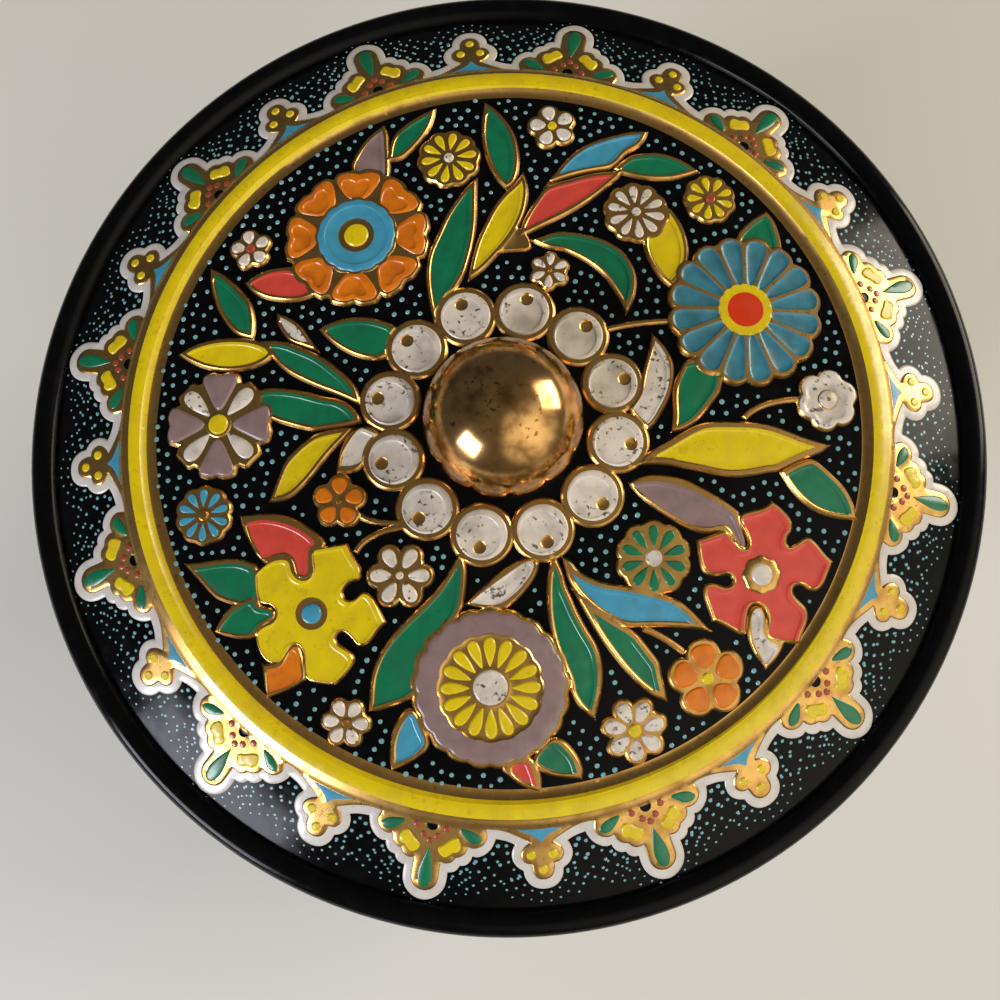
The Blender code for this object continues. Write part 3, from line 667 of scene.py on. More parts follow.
LEAVES = (
    Leaf(Finish.MAUVE, (-16.0, 41.2), ((-18.2, 39.5), (-19.7, 37.0), (-20.5, 34.8)), (-19.0, 31.5),
        ((-15.3, 40.0), (-15.1, 37.5), (-14.9, 35.0), (-14.9, 32.5))),
    Leaf(Finish.GREEN, (-9.0, 43.6), ((-11.0, 42.7), (-13.2, 41.2), (-15.0, 39.4)), (-15.4, 35.6),
        ((-9.2, 41.7), (-10.1, 39.5), (-12.0, 37.0), (-13.6, 35.6))),
    Leaf(Finish.GREEN, (-2.6, 44.4), ((-3.0, 41.1), (-3.0, 38.4), (-2.2, 35.0), (-1.0, 32.6)), (0.3, 31.2),
        ((-1.4, 43.7), (0.3, 41.7), (1.7, 39.1), (2.2, 36.3), (2.1, 33.8), (1.5, 31.9))),
    Leaf(Finish.YELLOW, (2.6, 33.8), ((1.3, 31.9), (0.2, 31.0), (-1.3, 29.0), (-2.4, 26.6), (-3.4, 24.3),
        (-4.2, 21.2)), (-4.6, 18.3), ((3.4, 31.6), (3.1, 28.5), (2.2, 26.0), (0.9, 23.8), (-1.0, 21.5),
        (-2.6, 19.7))),
    Leaf(Finish.GREEN, (26.0, 33.9), ((24.0, 35.5), (22.3, 36.3), (20.2, 36.8), (18.0, 36.6), (16.6, 36.3)),
        (14.2, 34.1), ((24.7, 33.4), (22.6, 32.7), (20.2, 32.5), (17.8, 32.7), (15.4, 33.4))),
    Leaf(Finish.BLUE, (19.3, 39.9), ((17.1, 39.9), (14.6, 39.3), (12.0, 38.4), (10.1, 37.4), (8.2, 35.7),
        (6.9, 33.9), (6.0, 32.7)), (5.1, 31.2), ((18.9, 38.7), (18.0, 37.4), (16.1, 36.3), (15.3, 35.1),
        (14.1, 34.1), (12.0, 33.8), (9.4, 33.2), (6.5, 32.2))),
    Leaf(Finish.CORAL, (15.8, 33.9), ((14.2, 33.9), (11.5, 33.6), (8.6, 32.7), (6.5, 32.1), (5.3, 31.5),
        (4.5, 30.3), (3.4, 28.6), (2.2, 26.2)), (2.1, 24.6), ((15.4, 33.1), (13.7, 31.5), (12.0, 30.0),
        (9.4, 28.1), (6.9, 26.7), (4.3, 25.4), (3.1, 24.7))),
    Leaf(Finish.GREEN, (34.4, 28.6), ((32.7, 27.6), (31.1, 26.2), (30.0, 24.5), (29.6, 21.0)), (33.0, 18.0),
        ((35.4, 27.4), (35.9, 25.7), (36.2, 24.0), (36.1, 20.6))),
    Leaf(Finish.YELLOW, (20.0, 29.6), ((18.0, 27.0), (18.0, 24.5), (18.0, 22.8), (18.7, 20.8), (20.0, 18.6)),
        (21.4, 17.4), ((21.7, 28.8), (23.0, 26.8), (23.8, 24.5), (24.0, 22.0), (23.3, 19.5))),
    Leaf(Finish.YELLOW, (-42.2, 9.5), ((-40.6, 8.4), (-38.4, 7.4), (-36.0, 6.9), (-33.9, 6.9), (-31.7, 7.3),
        (-30.0, 8.1)), (-29.1, 9.3), ((-40.6, 10.6), (-38.4, 11.3), (-36.0, 11.6), (-33.4, 11.5),
        (-31.5, 11.1), (-29.8, 10.3))),
    Leaf(Finish.GREEN, (-38.5, 21.3), ((-38.5, 19.4), (-37.9, 17.0), (-37.0, 14.9), (-35.8, 13.2),
        (-34.3, 11.7)), (-32.1, 11.1), ((-37.0, 20.6), (-35.5, 19.4), (-33.8, 17.8), (-32.6, 16.3),
        (-32.0, 14.2), (-31.9, 12.2))),
    Leaf(Finish.CORAL, (-33.8, 18.9), ((-32.6, 17.5), (-30.9, 16.6), (-29.1, 16.2), (-27.1, 16.0),
        (-25.4, 16.3), (-24.2, 16.8)), (-23.0, 19.0), ((-32.6, 19.9), (-30.9, 20.7), (-28.6, 21.1),
        (-26.5, 20.8))),
    Leaf(Finish.GREEN, (-31.2, 10.9), ((-29.4, 8.3), (-27.7, 6.7), (-26.0, 5.7), (-23.9, 4.7), (-22.2, 4.0),
        (-20.4, 3.3)), (-17.9, 2.1), ((-29.6, 11.1), (-27.6, 10.8), (-26.0, 10.1), (-24.1, 9.3),
        (-22.6, 8.4), (-20.9, 7.0), (-19.7, 6.0), (-18.6, 4.7), (-18.0, 3.4))),
    Leaf(Finish.WHITE, (-29.3, 14.7), ((-29.2, 13.2), (-28.3, 11.8), (-27.3, 10.6)), (-23.3, 9.1),
        ((-27.8, 14.2), (-25.9, 12.9), (-25.0, 11.5), (-23.8, 9.8)), 0.55),
    Leaf(Finish.GREEN, (-3.4, 33.1), ((-4.6, 32.1), (-6.2, 30.0), (-7.6, 27.6), (-8.7, 24.9), (-9.7, 22.5),
        (-10.0, 20.0), (-9.9, 18.0), (-9.5, 15.4), (-9.0, 13.5)), (-8.9, 12.3), ((-3.4, 30.9), (-3.4, 27.8),
        (-3.5, 25.5), (-3.9, 22.8), (-4.7, 19.7), (-5.2, 18.6), (-7.0, 15.5))),
    Leaf(Finish.GREEN, (-23.7, 12.3), ((-22.6, 11.0), (-20.9, 9.6), (-18.6, 8.4), (-16.4, 7.9),
        (-14.9, 8.1)), (-13.0, 10.2), ((-22.6, 13.1), (-20.3, 13.8), (-17.9, 13.9), (-15.7, 13.5),
        (-13.3, 12.5))),
    Leaf(Finish.GREEN, (15.5, 13.7), ((16.2, 14.9), (16.8, 16.3), (17.1, 18.0), (17.0, 19.4), (16.5, 20.9),
        (15.5, 22.5), (13.9, 23.7), (12.1, 24.5), (10.0, 25.0), (7.9, 25.3), (6.2, 25.1), (4.9, 24.5)),
        (3.1, 24.0), ((15.2, 14.9), (14.7, 15.9), (13.9, 17.3), (12.9, 18.9), (11.7, 20.1), (10.3, 21.1),
        (9.0, 21.8), (7.6, 22.5), (6.2, 22.6), (4.9, 23.1)), 0.66),
    Leaf(Finish.WHITE, (18.7, 11.5), ((18.4, 9.6), (17.7, 7.5), (17.3, 5.8), (17.0, 4.0), (16.2, 2.6),
        (15.4, 1.6), (16.2, 0.4)), (17.9, -1.3), ((20.1, 10.2), (21.2, 8.3), (21.5, 6.9), (21.4, 4.9),
        (20.9, 3.1), (20.0, 1.4), (19.0, -0.3)), 0.62),
    Leaf(Finish.GREEN, (20.8, -1.5), ((22.4, -1.2), (23.9, -0.3), (25.2, 1.0), (26.4, 2.6), (27.5, 4.1)),
        (28.0, 8.0), ((21.2, 0.8), (21.1, 2.6), (21.2, 4.6), (21.9, 6.2), (23.0, 8.4))),
    Leaf(Finish.GREEN, (-32.0, 4.3), ((-30.4, 1.0), (-28.7, 0.2), (-27.2, -0.3), (-25.1, -0.9),
        (-23.8, -1.1), (-22.4, -0.9), (-20.3, -0.7)), (-17.8, -0.1), ((-29.9, 4.8), (-27.9, 4.7),
        (-25.5, 4.3), (-23.8, 3.8), (-22.4, 3.4), (-20.9, 3.2), (-19.3, 2.4), (-17.9, 0.9))),
    Leaf(Finish.YELLOW, (-29.4, -10.0), ((-27.9, -10.0), (-26.3, -9.4), (-24.8, -8.0), (-23.6, -6.6),
        (-22.2, -4.7), (-20.9, -3.2), (-19.7, -2.0)), (-18.6, -0.7), ((-28.9, -8.5), (-28.2, -6.5),
        (-27.5, -4.7), (-26.3, -3.4), (-25.1, -2.3), (-23.8, -1.4), (-22.4, -1.0), (-20.0, -0.6))),
    Leaf(Finish.YELLOW, (41.1, -2.8), ((38.9, -2.2), (36.3, -1.3), (34.6, -0.6), (32.6, -0.1), (30.9, 0.1),
        (28.3, 0.1), (25.7, 0.1), (23.9, -0.4), (21.5, -1.8), (19.7, -2.9), (18.3, -3.6)), (15.7, -6.1),
        ((40.1, -3.7), (38.7, -4.2), (36.0, -5.4), (34.3, -6.3), (32.9, -6.4), (31.2, -6.8), (28.8, -7.1),
        (26.6, -6.9), (24.5, -6.4), (21.7, -5.9), (20.0, -5.5), (17.1, -5.5)), 0.9),
    Leaf(Finish.GREEN, (44.1, -12.3), ((43.9, -10.6), (43.2, -8.9), (42.2, -7.5), (40.5, -5.9), (39.1, -4.7),
        (38.2, -4.5), (36.5, -5.1)), (34.3, -6.3), ((41.1, -12.1), (39.1, -11.5), (37.4, -10.4),
        (36.0, -9.0), (35.0, -7.5))),
    Leaf(Finish.GREEN, (-40.2, -17.5), ((-39.2, -18.6), (-38.0, -19.8), (-36.8, -21.1), (-35.4, -22.3)),
        (-30.0, -23.6), ((-38.3, -17.4), (-36.3, -17.1), (-34.4, -16.9), (-32.3, -17.0), (-30.0, -18.0))),
    Leaf(Finish.GREEN, (-5.4, -16.2), ((-6.7, -18.6), (-7.8, -20.3), (-9.1, -21.8), (-10.9, -23.5),
        (-12.6, -25.1), (-13.9, -26.6), (-15.1, -28.3), (-15.8, -29.9), (-16.3, -31.6), (-16.4, -33.4)),
        (-16.5, -35.6), ((-4.5, -17.7), (-4.5, -20.3), (-5.0, -24.0), (-8.6, -28.0), (-9.6, -33.0),
        (-11.8, -34.5), (-13.7, -35.1), (-15.4, -35.6))),
    Leaf(Finish.GREEN, (11.1, -36.6), ((11.4, -35.1), (11.9, -33.4), (12.1, -31.2), (11.9, -29.1),
        (11.3, -27.4), (10.2, -25.7), (9.1, -23.7), (8.3, -21.8), (7.6, -20.3), (7.4, -18.9)), (6.4, -16.9),
        ((10.2, -36.0), (9.0, -35.0), (8.0, -33.2), (7.9, -31.9), (7.1, -30.1), (6.2, -28.0), (5.5, -25.4),
        (5.2, -22.7), (5.2, -20.3), (5.5, -17.7))),
    Leaf(Finish.GREEN, (19.8, -34.4), ((19.8, -33.6), (19.3, -31.4), (19.0, -29.8), (18.1, -28.6),
        (17.1, -27.3), (16.1, -26.0), (14.0, -24.8), (11.5, -23.2)), (8.1, -20.6), ((18.3, -33.9),
        (16.6, -32.7), (14.9, -31.0), (13.5, -29.3), (12.1, -27.4), (10.9, -25.5), (9.6, -23.2)), 0.8),
    Leaf(Finish.BLUE, (25.5, -26.0), ((24.3, -24.9), (23.0, -23.5), (21.6, -22.3), (20.2, -21.6),
        (17.5, -20.8), (14.8, -20.3), (12.6, -20.1), (10.5, -19.4), (9.1, -18.6), (8.3, -17.4)),
        (7.0, -16.8), ((22.3, -25.6), (19.7, -25.5), (17.7, -25.5), (15.2, -25.6), (13.0, -24.8),
        (10.9, -23.4), (9.1, -21.7), (8.1, -20.3), (7.7, -19.4), (7.4, -18.2)), 0.8),
)


@dataclass(frozen=True)
class Shape:
    """A shape of the lid's field that runs under or into its neighbours, in millimetres.

    Attributes:
        finish: Its enamel.
        gold: Outline of its gold ground.
        fill: Outline of its enamel.
    """

    finish: Finish
    gold: Points
    fill: Points


# Leaves whose narrow ends run into the slots of a flower; a point given twice is a sharp corner
TONGUES = (
    Shape(Finish.MAUVE, ((15.4, -7.8), (15.4, -7.8), (15.7, -8.4), (17.3, -10.1), (19.0, -11.3),
        (20.9, -12.6), (22.7, -13.5), (24.4, -14.2), (27.0, -13.8), (28.0, -14.4), (28.9, -15.9),
        (29.8, -16.2), (29.9, -15.0), (29.4, -13.4), (29.1, -11.3), (29.1, -11.3), (27.7, -10.2),
        (26.2, -9.2), (24.3, -8.2), (22.6, -7.3), (21.0, -6.9), (19.1, -6.7), (17.3, -6.8)), ((15.9, -8.0),
        (15.9, -8.0), (16.6, -8.7), (18.3, -10.1), (20.0, -11.3), (21.7, -12.3), (23.4, -13.1),
        (25.7, -13.3), (26.9, -12.9), (27.8, -13.2), (28.4, -14.2), (29.1, -15.4), (29.5, -15.8),
        (29.7, -15.1), (29.1, -13.4), (28.5, -11.8), (27.4, -11.0), (26.0, -10.2), (24.3, -9.2),
        (22.2, -8.3), (20.0, -7.8), (18.3, -7.6))),
    Shape(Finish.CORAL, ((-33.1, -11.6), (-33.1, -11.6), (-32.9, -12.6), (-32.3, -13.9), (-31.5, -15.5),
        (-30.5, -17.0), (-28.5, -18.5), (-26.4, -19.2), (-24.9, -19.9), (-23.2, -19.4), (-22.6, -17.0),
        (-21.9, -15.1), (-21.9, -15.1), (-22.4, -14.4), (-23.8, -13.3), (-25.5, -12.2), (-27.2, -11.5),
        (-29.1, -11.3), (-31.1, -11.4)), ((-32.0, -12.6), (-32.0, -12.6), (-31.3, -14.6), (-30.5, -16.0),
        (-29.7, -17.2), (-28.6, -16.6), (-27.2, -16.2), (-26.2, -16.6), (-25.7, -17.4), (-25.4, -18.7),
        (-24.8, -19.2), (-24.2, -18.9), (-24.1, -18.1), (-24.2, -16.4), (-23.9, -15.7), (-23.1, -15.2),
        (-24.3, -14.1), (-26.0, -13.1), (-28.2, -12.4), (-30.3, -12.2))),
    Shape(Finish.GREEN, ((-36.0, -26.0), (-36.0, -26.0), (-34.4, -26.6), (-32.3, -27.0), (-30.6, -26.8),
        (-29.4, -25.3), (-27.9, -24.4), (-28.0, -23.2), (-30.0, -22.8), (-31.0, -21.7), (-32.0, -22.0),
        (-33.4, -22.5), (-34.6, -23.4), (-35.4, -24.6)), ((-35.2, -25.8), (-35.2, -25.8), (-33.0, -26.3),
        (-31.0, -26.2), (-30.5, -25.4), (-29.9, -24.8), (-28.7, -24.2), (-28.4, -23.8), (-28.8, -23.4),
        (-30.4, -23.3), (-31.1, -22.1), (-32.0, -22.6), (-33.4, -23.4), (-34.4, -24.6))),
    Shape(Finish.ORANGE, ((-29.1, -34.1), (-29.1, -34.1), (-27.7, -33.6), (-26.0, -32.9), (-24.8, -32.2),
        (-24.0, -31.8), (-24.4, -29.0), (-25.0, -27.5), (-26.0, -27.4), (-27.0, -29.0), (-28.4, -29.8),
        (-29.8, -29.9), (-29.8, -29.9), (-29.6, -32.0)), ((-28.8, -33.5), (-28.8, -33.5), (-27.7, -33.1),
        (-26.0, -32.5), (-24.6, -31.6), (-24.9, -30.2), (-24.9, -28.3), (-25.6, -27.7), (-26.3, -28.2),
        (-26.8, -29.5), (-27.6, -30.3), (-29.1, -30.6), (-29.1, -30.6))),
    Shape(Finish.WHITE, ((32.0, -30.6), (32.0, -30.6), (33.3, -29.4), (34.1, -28.2), (34.5, -27.2),
        (32.6, -26.4), (32.2, -24.0), (31.6, -22.8), (30.4, -22.8), (29.7, -24.2), (29.6, -26.0),
        (30.3, -28.2), (31.2, -29.5)), ((32.0, -30.1), (32.0, -30.1), (33.0, -29.0), (33.7, -27.7),
        (32.2, -27.1), (31.5, -26.1), (31.7, -25.0), (31.7, -23.7), (31.0, -23.1), (30.3, -23.7),
        (30.2, -25.6), (30.4, -27.1), (31.2, -28.8))),
    Shape(Finish.WHITE, ((-19.2, -1.2), (-20.2, -2.6), (-20.8, -4.8), (-20.9, -6.6), (-20.9, -6.6),
        (-19.6, -6.6), (-18.0, -6.3), (-17.2, -5.2), (-16.6, -3.6), (-15.9, -2.4), (-15.2, -1.6),
        (-16.3, -0.6), (-17.6, -0.4)), ((-17.6, -0.8), (-18.3, -1.1), (-19.3, -2.6), (-20.1, -4.1),
        (-20.2, -5.6), (-20.2, -5.6), (-18.6, -5.6), (-17.4, -4.9), (-16.8, -3.4), (-15.7, -1.7),
        (-15.7, -1.7))),
    Shape(Finish.WHITE, ((-4.7, -22.7), (-4.7, -22.7), (-2.3, -23.4), (0.2, -23.4), (0.4, -23.2),
        (1.6, -22.3), (2.8, -21.0), (4.0, -19.3), (4.5, -17.9), (4.0, -17.2), (2.3, -17.0), (0.6, -17.9),
        (-1.1, -19.1), (-2.3, -20.3), (-3.5, -21.3)), ((-4.1, -22.5), (-4.1, -22.5), (-2.3, -22.8),
        (-0.6, -22.8), (0.9, -21.8), (2.3, -20.5), (3.6, -18.7), (3.7, -17.5), (2.7, -17.5), (1.1, -18.6),
        (-0.3, -19.6), (-2.0, -20.8))),
    Shape(Finish.BLUE, ((-13.7, -42.7), (-13.7, -42.7), (-12.3, -42.2), (-10.6, -41.3), (-8.7, -39.8),
        (-9.6, -37.0), (-11.0, -35.0), (-12.0, -35.2), (-12.9, -36.3), (-13.6, -37.7), (-13.9, -39.6),
        (-13.9, -41.1)), ((-13.0, -41.7), (-13.0, -41.7), (-11.4, -41.1), (-10.1, -40.1), (-9.4, -39.1),
        (-10.3, -37.5), (-10.8, -35.8), (-11.6, -36.0), (-12.5, -37.5), (-13.1, -39.4))),
    Shape(Finish.CORAL, ((4.5, -45.2), (4.5, -45.2), (4.7, -43.2), (3.4, -40.6), (1.0, -40.8), (-0.6, -42.2),
        (0.6, -43.4), (2.3, -44.6)), ((4.0, -44.4), (4.0, -44.4), (3.3, -42.2), (2.8, -41.2), (1.6, -41.3),
        (0.7, -42.3), (2.1, -43.7))),
    Shape(Finish.GREEN, ((9.4, -43.6), (9.4, -43.6), (9.7, -42.5), (9.1, -41.0), (7.9, -39.4), (6.7, -38.6),
        (5.9, -38.5), (4.2, -39.8), (3.2, -41.7), (4.5, -42.8), (5.7, -43.3), (7.4, -43.5)), ((8.8, -42.8),
        (8.8, -42.8), (8.3, -41.1), (7.1, -39.8), (6.1, -39.0), (4.8, -39.9), (3.8, -41.4), (4.9, -42.1),
        (6.6, -42.8))),
)

# Gold stems as start, middle and end
STEMS = (
    ((13.0, 11.9), (16.8, 12.7), (21.0, 13.1)),
    ((30.0, 0.4), (32.9, 2.3), (37.4, 3.1)),
    ((-18.3, -11.3), (-16.0, -12.5), (-12.0, -12.7)),
    ((-18.3, -16.4), (-16.2, -14.3), (-12.0, -13.1)),
    ((16.8, -25.6), (19.3, -26.7), (22.0, -28.6)),
)

# The gold blot where four leaves meet
BLOT = ((2.0, 26.0), (-0.4, 24.6), (-1.8, 21.9), (0.0, 22.3), (1.9, 22.4), (3.5, 22.5), (3.7, 23.5),
        (3.0, 25.0))

# Gold outlines of the two great slotted flowers; a point given twice is a sharp corner
YELLOW_BLOOM = (
    (-30.9, -18.7), (-30.9, -18.7), (-30.8, -20.6), (-30.5, -22.2), (-29.8, -22.7), (-28.6, -22.8),
    (-28.1, -23.7), (-28.4, -24.6), (-29.6, -25.1), (-30.6, -25.8), (-30.7, -26.8), (-30.4, -28.0),
    (-29.8, -29.1), (-28.9, -29.9), (-27.5, -30.2), (-26.5, -29.2), (-26.2, -28.0), (-25.4, -27.5),
    (-24.6, -28.4), (-24.6, -30.6), (-24.2, -32.0), (-22.0, -32.4), (-20.5, -32.5), (-20.5, -32.5),
    (-19.1, -31.1), (-18.1, -29.7), (-18.2, -28.9), (-19.1, -28.0), (-20.3, -27.4), (-20.6, -26.6),
    (-19.8, -25.9), (-18.8, -26.6), (-17.9, -27.8), (-17.0, -27.8), (-16.0, -27.0), (-15.3, -25.8),
    (-14.3, -24.9), (-14.3, -24.9), (-15.0, -23.5), (-15.7, -22.0), (-16.6, -21.1), (-17.5, -21.1),
    (-18.4, -22.1), (-19.4, -22.1), (-19.8, -21.0), (-18.9, -20.0), (-17.5, -19.8), (-17.4, -18.2),
    (-18.4, -16.9), (-19.3, -15.1), (-19.3, -15.1), (-22.0, -15.5), (-23.8, -15.8), (-23.8, -17.2),
    (-23.5, -18.4), (-24.1, -19.4), (-25.1, -19.5), (-25.9, -18.7), (-26.2, -17.2), (-27.2, -16.8),
    (-28.6, -17.0), (-29.8, -17.7),
)
CORAL_BLOOM = (
    (33.2, -9.9), (33.2, -9.9), (32.1, -10.8), (30.0, -11.2), (28.9, -11.8), (29.0, -12.7), (29.6, -13.8),
    (30.1, -15.2), (29.6, -16.0), (28.4, -14.9), (27.4, -13.4), (26.6, -13.8), (23.6, -14.8), (23.6, -14.8),
    (23.8, -16.9), (24.2, -18.5), (25.0, -19.3), (26.6, -19.3), (27.7, -19.1), (28.1, -19.9), (27.3, -20.6),
    (25.8, -20.0), (24.6, -20.1), (24.2, -21.2), (25.0, -23.4), (25.4, -24.8), (25.4, -24.8), (26.2, -24.9),
    (27.9, -25.9), (29.0, -26.5), (29.7, -26.4), (29.8, -24.5), (30.2, -23.0), (31.0, -22.7), (31.9, -23.2),
    (32.2, -24.6), (31.7, -26.0), (32.3, -27.1), (34.3, -27.5), (36.3, -27.5), (36.3, -27.5), (36.6, -26.3),
    (37.2, -25.2), (37.5, -24.1), (37.2, -23.0), (36.3, -22.2), (35.6, -21.4), (35.8, -20.4), (36.8, -20.4),
    (37.6, -21.1), (38.7, -21.1), (39.6, -20.2), (40.2, -18.8), (40.8, -17.4), (40.8, -17.4), (39.8, -16.5),
    (38.7, -15.0), (37.7, -14.3), (37.0, -14.4), (36.0, -15.2), (35.1, -15.6), (35.0, -14.6), (35.8, -13.6),
    (35.8, -12.6), (35.3, -11.7), (34.2, -10.6),
)


@dataclass(frozen=True)
class Petals:
    """Form of a small flower's petals. Lengths are shares of the flower's radius where not in millimetres.

    Attributes:
        valley: Depth of the valleys between the lobes of the gold ground.
        start: Inner end.
        end: Outer end.
        share: Width, as a share of the room that each petal has.
        middle: Distance from the flower's middle at which that room is taken.
        widest: Greatest width.
        taper: How much wider the outer half is.
        points: Number of points.
        edge: Width of the slope in millimetres.
        swell: Extra height of the middle in millimetres.
        reach: Distance over which it swells in millimetres.
    """

    valley: float
    start: float
    end: float
    share: float
    middle: float
    widest: float
    taper: float
    points: int
    edge: float
    swell: float
    reach: float


ASTER = Petals(0.09, 0.26, 0.84, 0.62, 0.66, math.inf, 0.7, 16, 0.16, 0.10, 0.4)
PRIMROSE = Petals(0.26, 0.24, 0.85, 0.72, 0.58, 0.56, 0.30, 20, 0.22, 0.16, 0.6)


@dataclass
class Bloom:
    """Maker of one flower's patches, about the flower's middle.

    Attributes:
        at: Middle of the flower in millimetres.
        size: Radius to its outermost gold edge, in millimetres.
    """

    at: Pair
    size: float
    patches: list[Patch] = field(default_factory=list)

    # Heights above the dome of the gold ground, the petals and the bead, and the ground's slope
    BASE = 0.50
    PETAL = 0.66
    CROWN = 0.80
    GROUND_EDGE = 0.35
    DISC_STEP = 0.3

    def add(self, outline: Array, finish: Optional[Finish], level: Optional[float] = None,
            edge: float = 0.2, swell: float = 0.0, reach: float = 0.8) -> None:
        """Add a patch given round the flower's middle."""
        self.patches.append(Patch(outline + np.array(self.at), finish, level, edge, swell, reach))

    def round(self, radius: float, finish: Finish, level: float, edge: float, swell: float = 0.0) -> None:
        """Add a disc in the middle."""
        disc = Patch.disc(np.array(self.at), radius, finish, level, edge, swell, self.DISC_STEP)
        self.patches.append(disc)

    def button(self, radius: float, finish: Finish, level: float, swell: float = 0.15) -> None:
        """Add a round bead in the middle."""
        self.round(radius, finish, level, min(0.2, radius / 3), swell)

    def small(self, form: Petals, count: int, turn: float, finish: Finish, heart: Finish, heart_size: float,
              slim: float = 1.0) -> None:
        """Add a small flower's ground, its petals and its bead.

        Args:
            form: Form of the petals.
            count: Number of petals.
            turn: Direction of one petal.
            finish: Enamel of the petals.
            heart: Enamel of the bead.
            heart_size: Radius of the bead.
            slim: Width of the petals against the usual one.
        """
        size = self.size
        self.add(Plan.lobed(size, count, form.valley, turn), Finish.GOLD, self.BASE, self.GROUND_EDGE)
        width = min(form.widest * size, form.share * 2.0 * math.pi * form.middle * size / count) * slim
        for index in range(count):
            bearing = turn + index * 360.0 / count
            outline = Plan.petal(form.start * size, form.end * size, width, bearing, form.taper, form.points)
            self.add(outline, finish, self.PETAL, form.edge, form.swell, form.reach)
        self.button(heart_size, heart, self.CROWN)


class Ornament:
    """The lid's whole pattern, as a list of patches from the lowest to the topmost."""

    # Half of one pitch of the border, as degrees from the middle of a large motif and radius in
    # millimetres; the other half mirrors it. A point given twice is a sharp corner.
    WHITE_LINE = (
        (0.0, 59.75), (1.0, 59.5), (2.0, 58.75), (2.6, 57.7), (2.78, 56.6), (2.78, 55.6), (2.78, 55.6),
        (3.1, 55.6), (3.6, 55.45), (4.0, 55.1), (4.25, 54.6), (4.25, 54.6), (4.8, 54.55), (5.3, 54.25),
        (5.7, 53.7), (5.8, 53.25), (5.8, 53.25), (6.4, 53.35), (7.2, 53.1), (8.1, 52.4), (8.6, 51.6),
        (8.85, 50.9), (8.85, 50.9), (9.6, 51.0), (10.5, 51.2), (11.45, 51.6), (11.45, 51.6), (11.1, 52.2),
        (10.95, 53.0), (11.15, 53.8), (11.7, 54.5), (12.45, 54.95), (12.45, 54.95), (12.6, 55.9),
        (13.2, 56.8), (14.0, 57.3), (15.0, 57.45),
    )
    GOLD_LINE = (
        (0.0, 58.45), (0.8, 58.25), (1.4, 57.7), (1.72, 56.9), (1.73, 55.9), (1.75, 54.4), (1.75, 54.4),
        (2.4, 54.55), (3.2, 54.3), (3.65, 53.65), (3.65, 53.65), (4.3, 53.45), (4.95, 52.9), (5.15, 52.1),
        (5.15, 52.1), (6.0, 52.3), (7.1, 51.9), (7.7, 51.0), (7.6, 50.2), (7.3, 49.7), (9.0, 49.75),
        (10.5, 50.05), (12.0, 50.65), (13.5, 51.4), (13.5, 51.4), (12.7, 51.85), (12.15, 52.6), (12.15, 53.3),
        (12.7, 54.0), (13.5, 54.15), (13.5, 54.15), (13.6, 55.2), (14.1, 56.0), (15.0, 56.25),
    )
    YELLOW_PAD = ((1.1, 52.5), (1.4, 53.3), (2.2, 53.8), (2.9, 53.3), (3.2, 52.95), (3.9, 52.9), (4.3, 52.2),
                  (3.9, 51.2), (3.4, 51.0), (2.7, 51.3), (2.0, 52.0))
    SIDE_DROP = ((3.5, 49.8), (4.6, 50.95), (5.55, 51.65), (6.6, 51.6), (7.05, 51.1), (6.5, 50.4),
                 (5.3, 49.95))
    CAP_DROP = ((0.0, 52.6), (0.0, 52.6), (0.5, 54.0), (0.92, 55.6), (0.92, 56.8), (0.5, 57.8), (0.0, 58.0))
    RUST_BEADS = ((2.1, 50.15), (0.95, 51.2), (0.0, 51.85))
    YELLOW_BEADS = ((15.0, 54.85), (13.55, 52.95))
    TRIANGLE = ((18.2, 49.75), (15.8, 50.6), (15.0, 51.5), (15.0, 51.5), (14.2, 50.6), (11.8, 49.75),
                (11.8, 49.75), (15.0, 49.6), (18.2, 49.75))
    PAIRS = 12
    # Heights above the dome: white outline, gold ground, green drops, yellow pads and blue wedges
    WHITE_LEVEL, GOLD_LEVEL, DROP_LEVEL, PAD_LEVEL, WEDGE_LEVEL = 0.16, 0.34, 0.42, 0.52, 0.36
    MOTIF_SWELL = 0.08
    WEDGE_EDGE = 0.15
    # Radius, finish, height, slope and swell of the border's round spots
    RUST_SPOT = (0.46, Finish.RUST, 0.44, 0.15, 0.0)
    YELLOW_SPOT = (0.6, Finish.YELLOW, 0.48, 0.2, 0.1)
    HOLLOW = (0.72, Finish.ENAMEL, 0.28, 0.15, 0.0)
    HOLLOW_AT = (0.0, 49.85)
    SPOT_STEP = 0.34

    def __init__(self, field_radius: float) -> None:
        """Take the size that the pattern is fitted to.

        Args:
            field_radius: Inner radius of the yellow band, in millimetres.
        """
        self.field_radius = field_radius
        self.turn = 20.0
        self.patches: list[Patch] = []

    @staticmethod
    def _round_about(points: Points, bearing: float, hand: float = 1.0) -> Array:
        """Turn angles and radii into plan points."""
        turn = np.radians([bearing + hand * point[0] for point in points])
        return Plan.polar(np.array([point[1] for point in points]), turn)

    def _pressed(self, points: Array, finish: Finish, level: float, edge: float = 0.2) -> None:
        """Add a motif's fill, whichever way its points run."""
        self.patches.append(Patch(Plan.smooth(points), finish, level, edge, self.MOTIF_SWELL))

    def _spot(self, at: Pair, bearing: float, hand: float, form: tuple) -> None:
        """Add a round spot of the border."""
        middle = self._round_about((at,), bearing, hand)[0]
        self.patches.append(Patch.disc(middle, *form, self.SPOT_STEP))

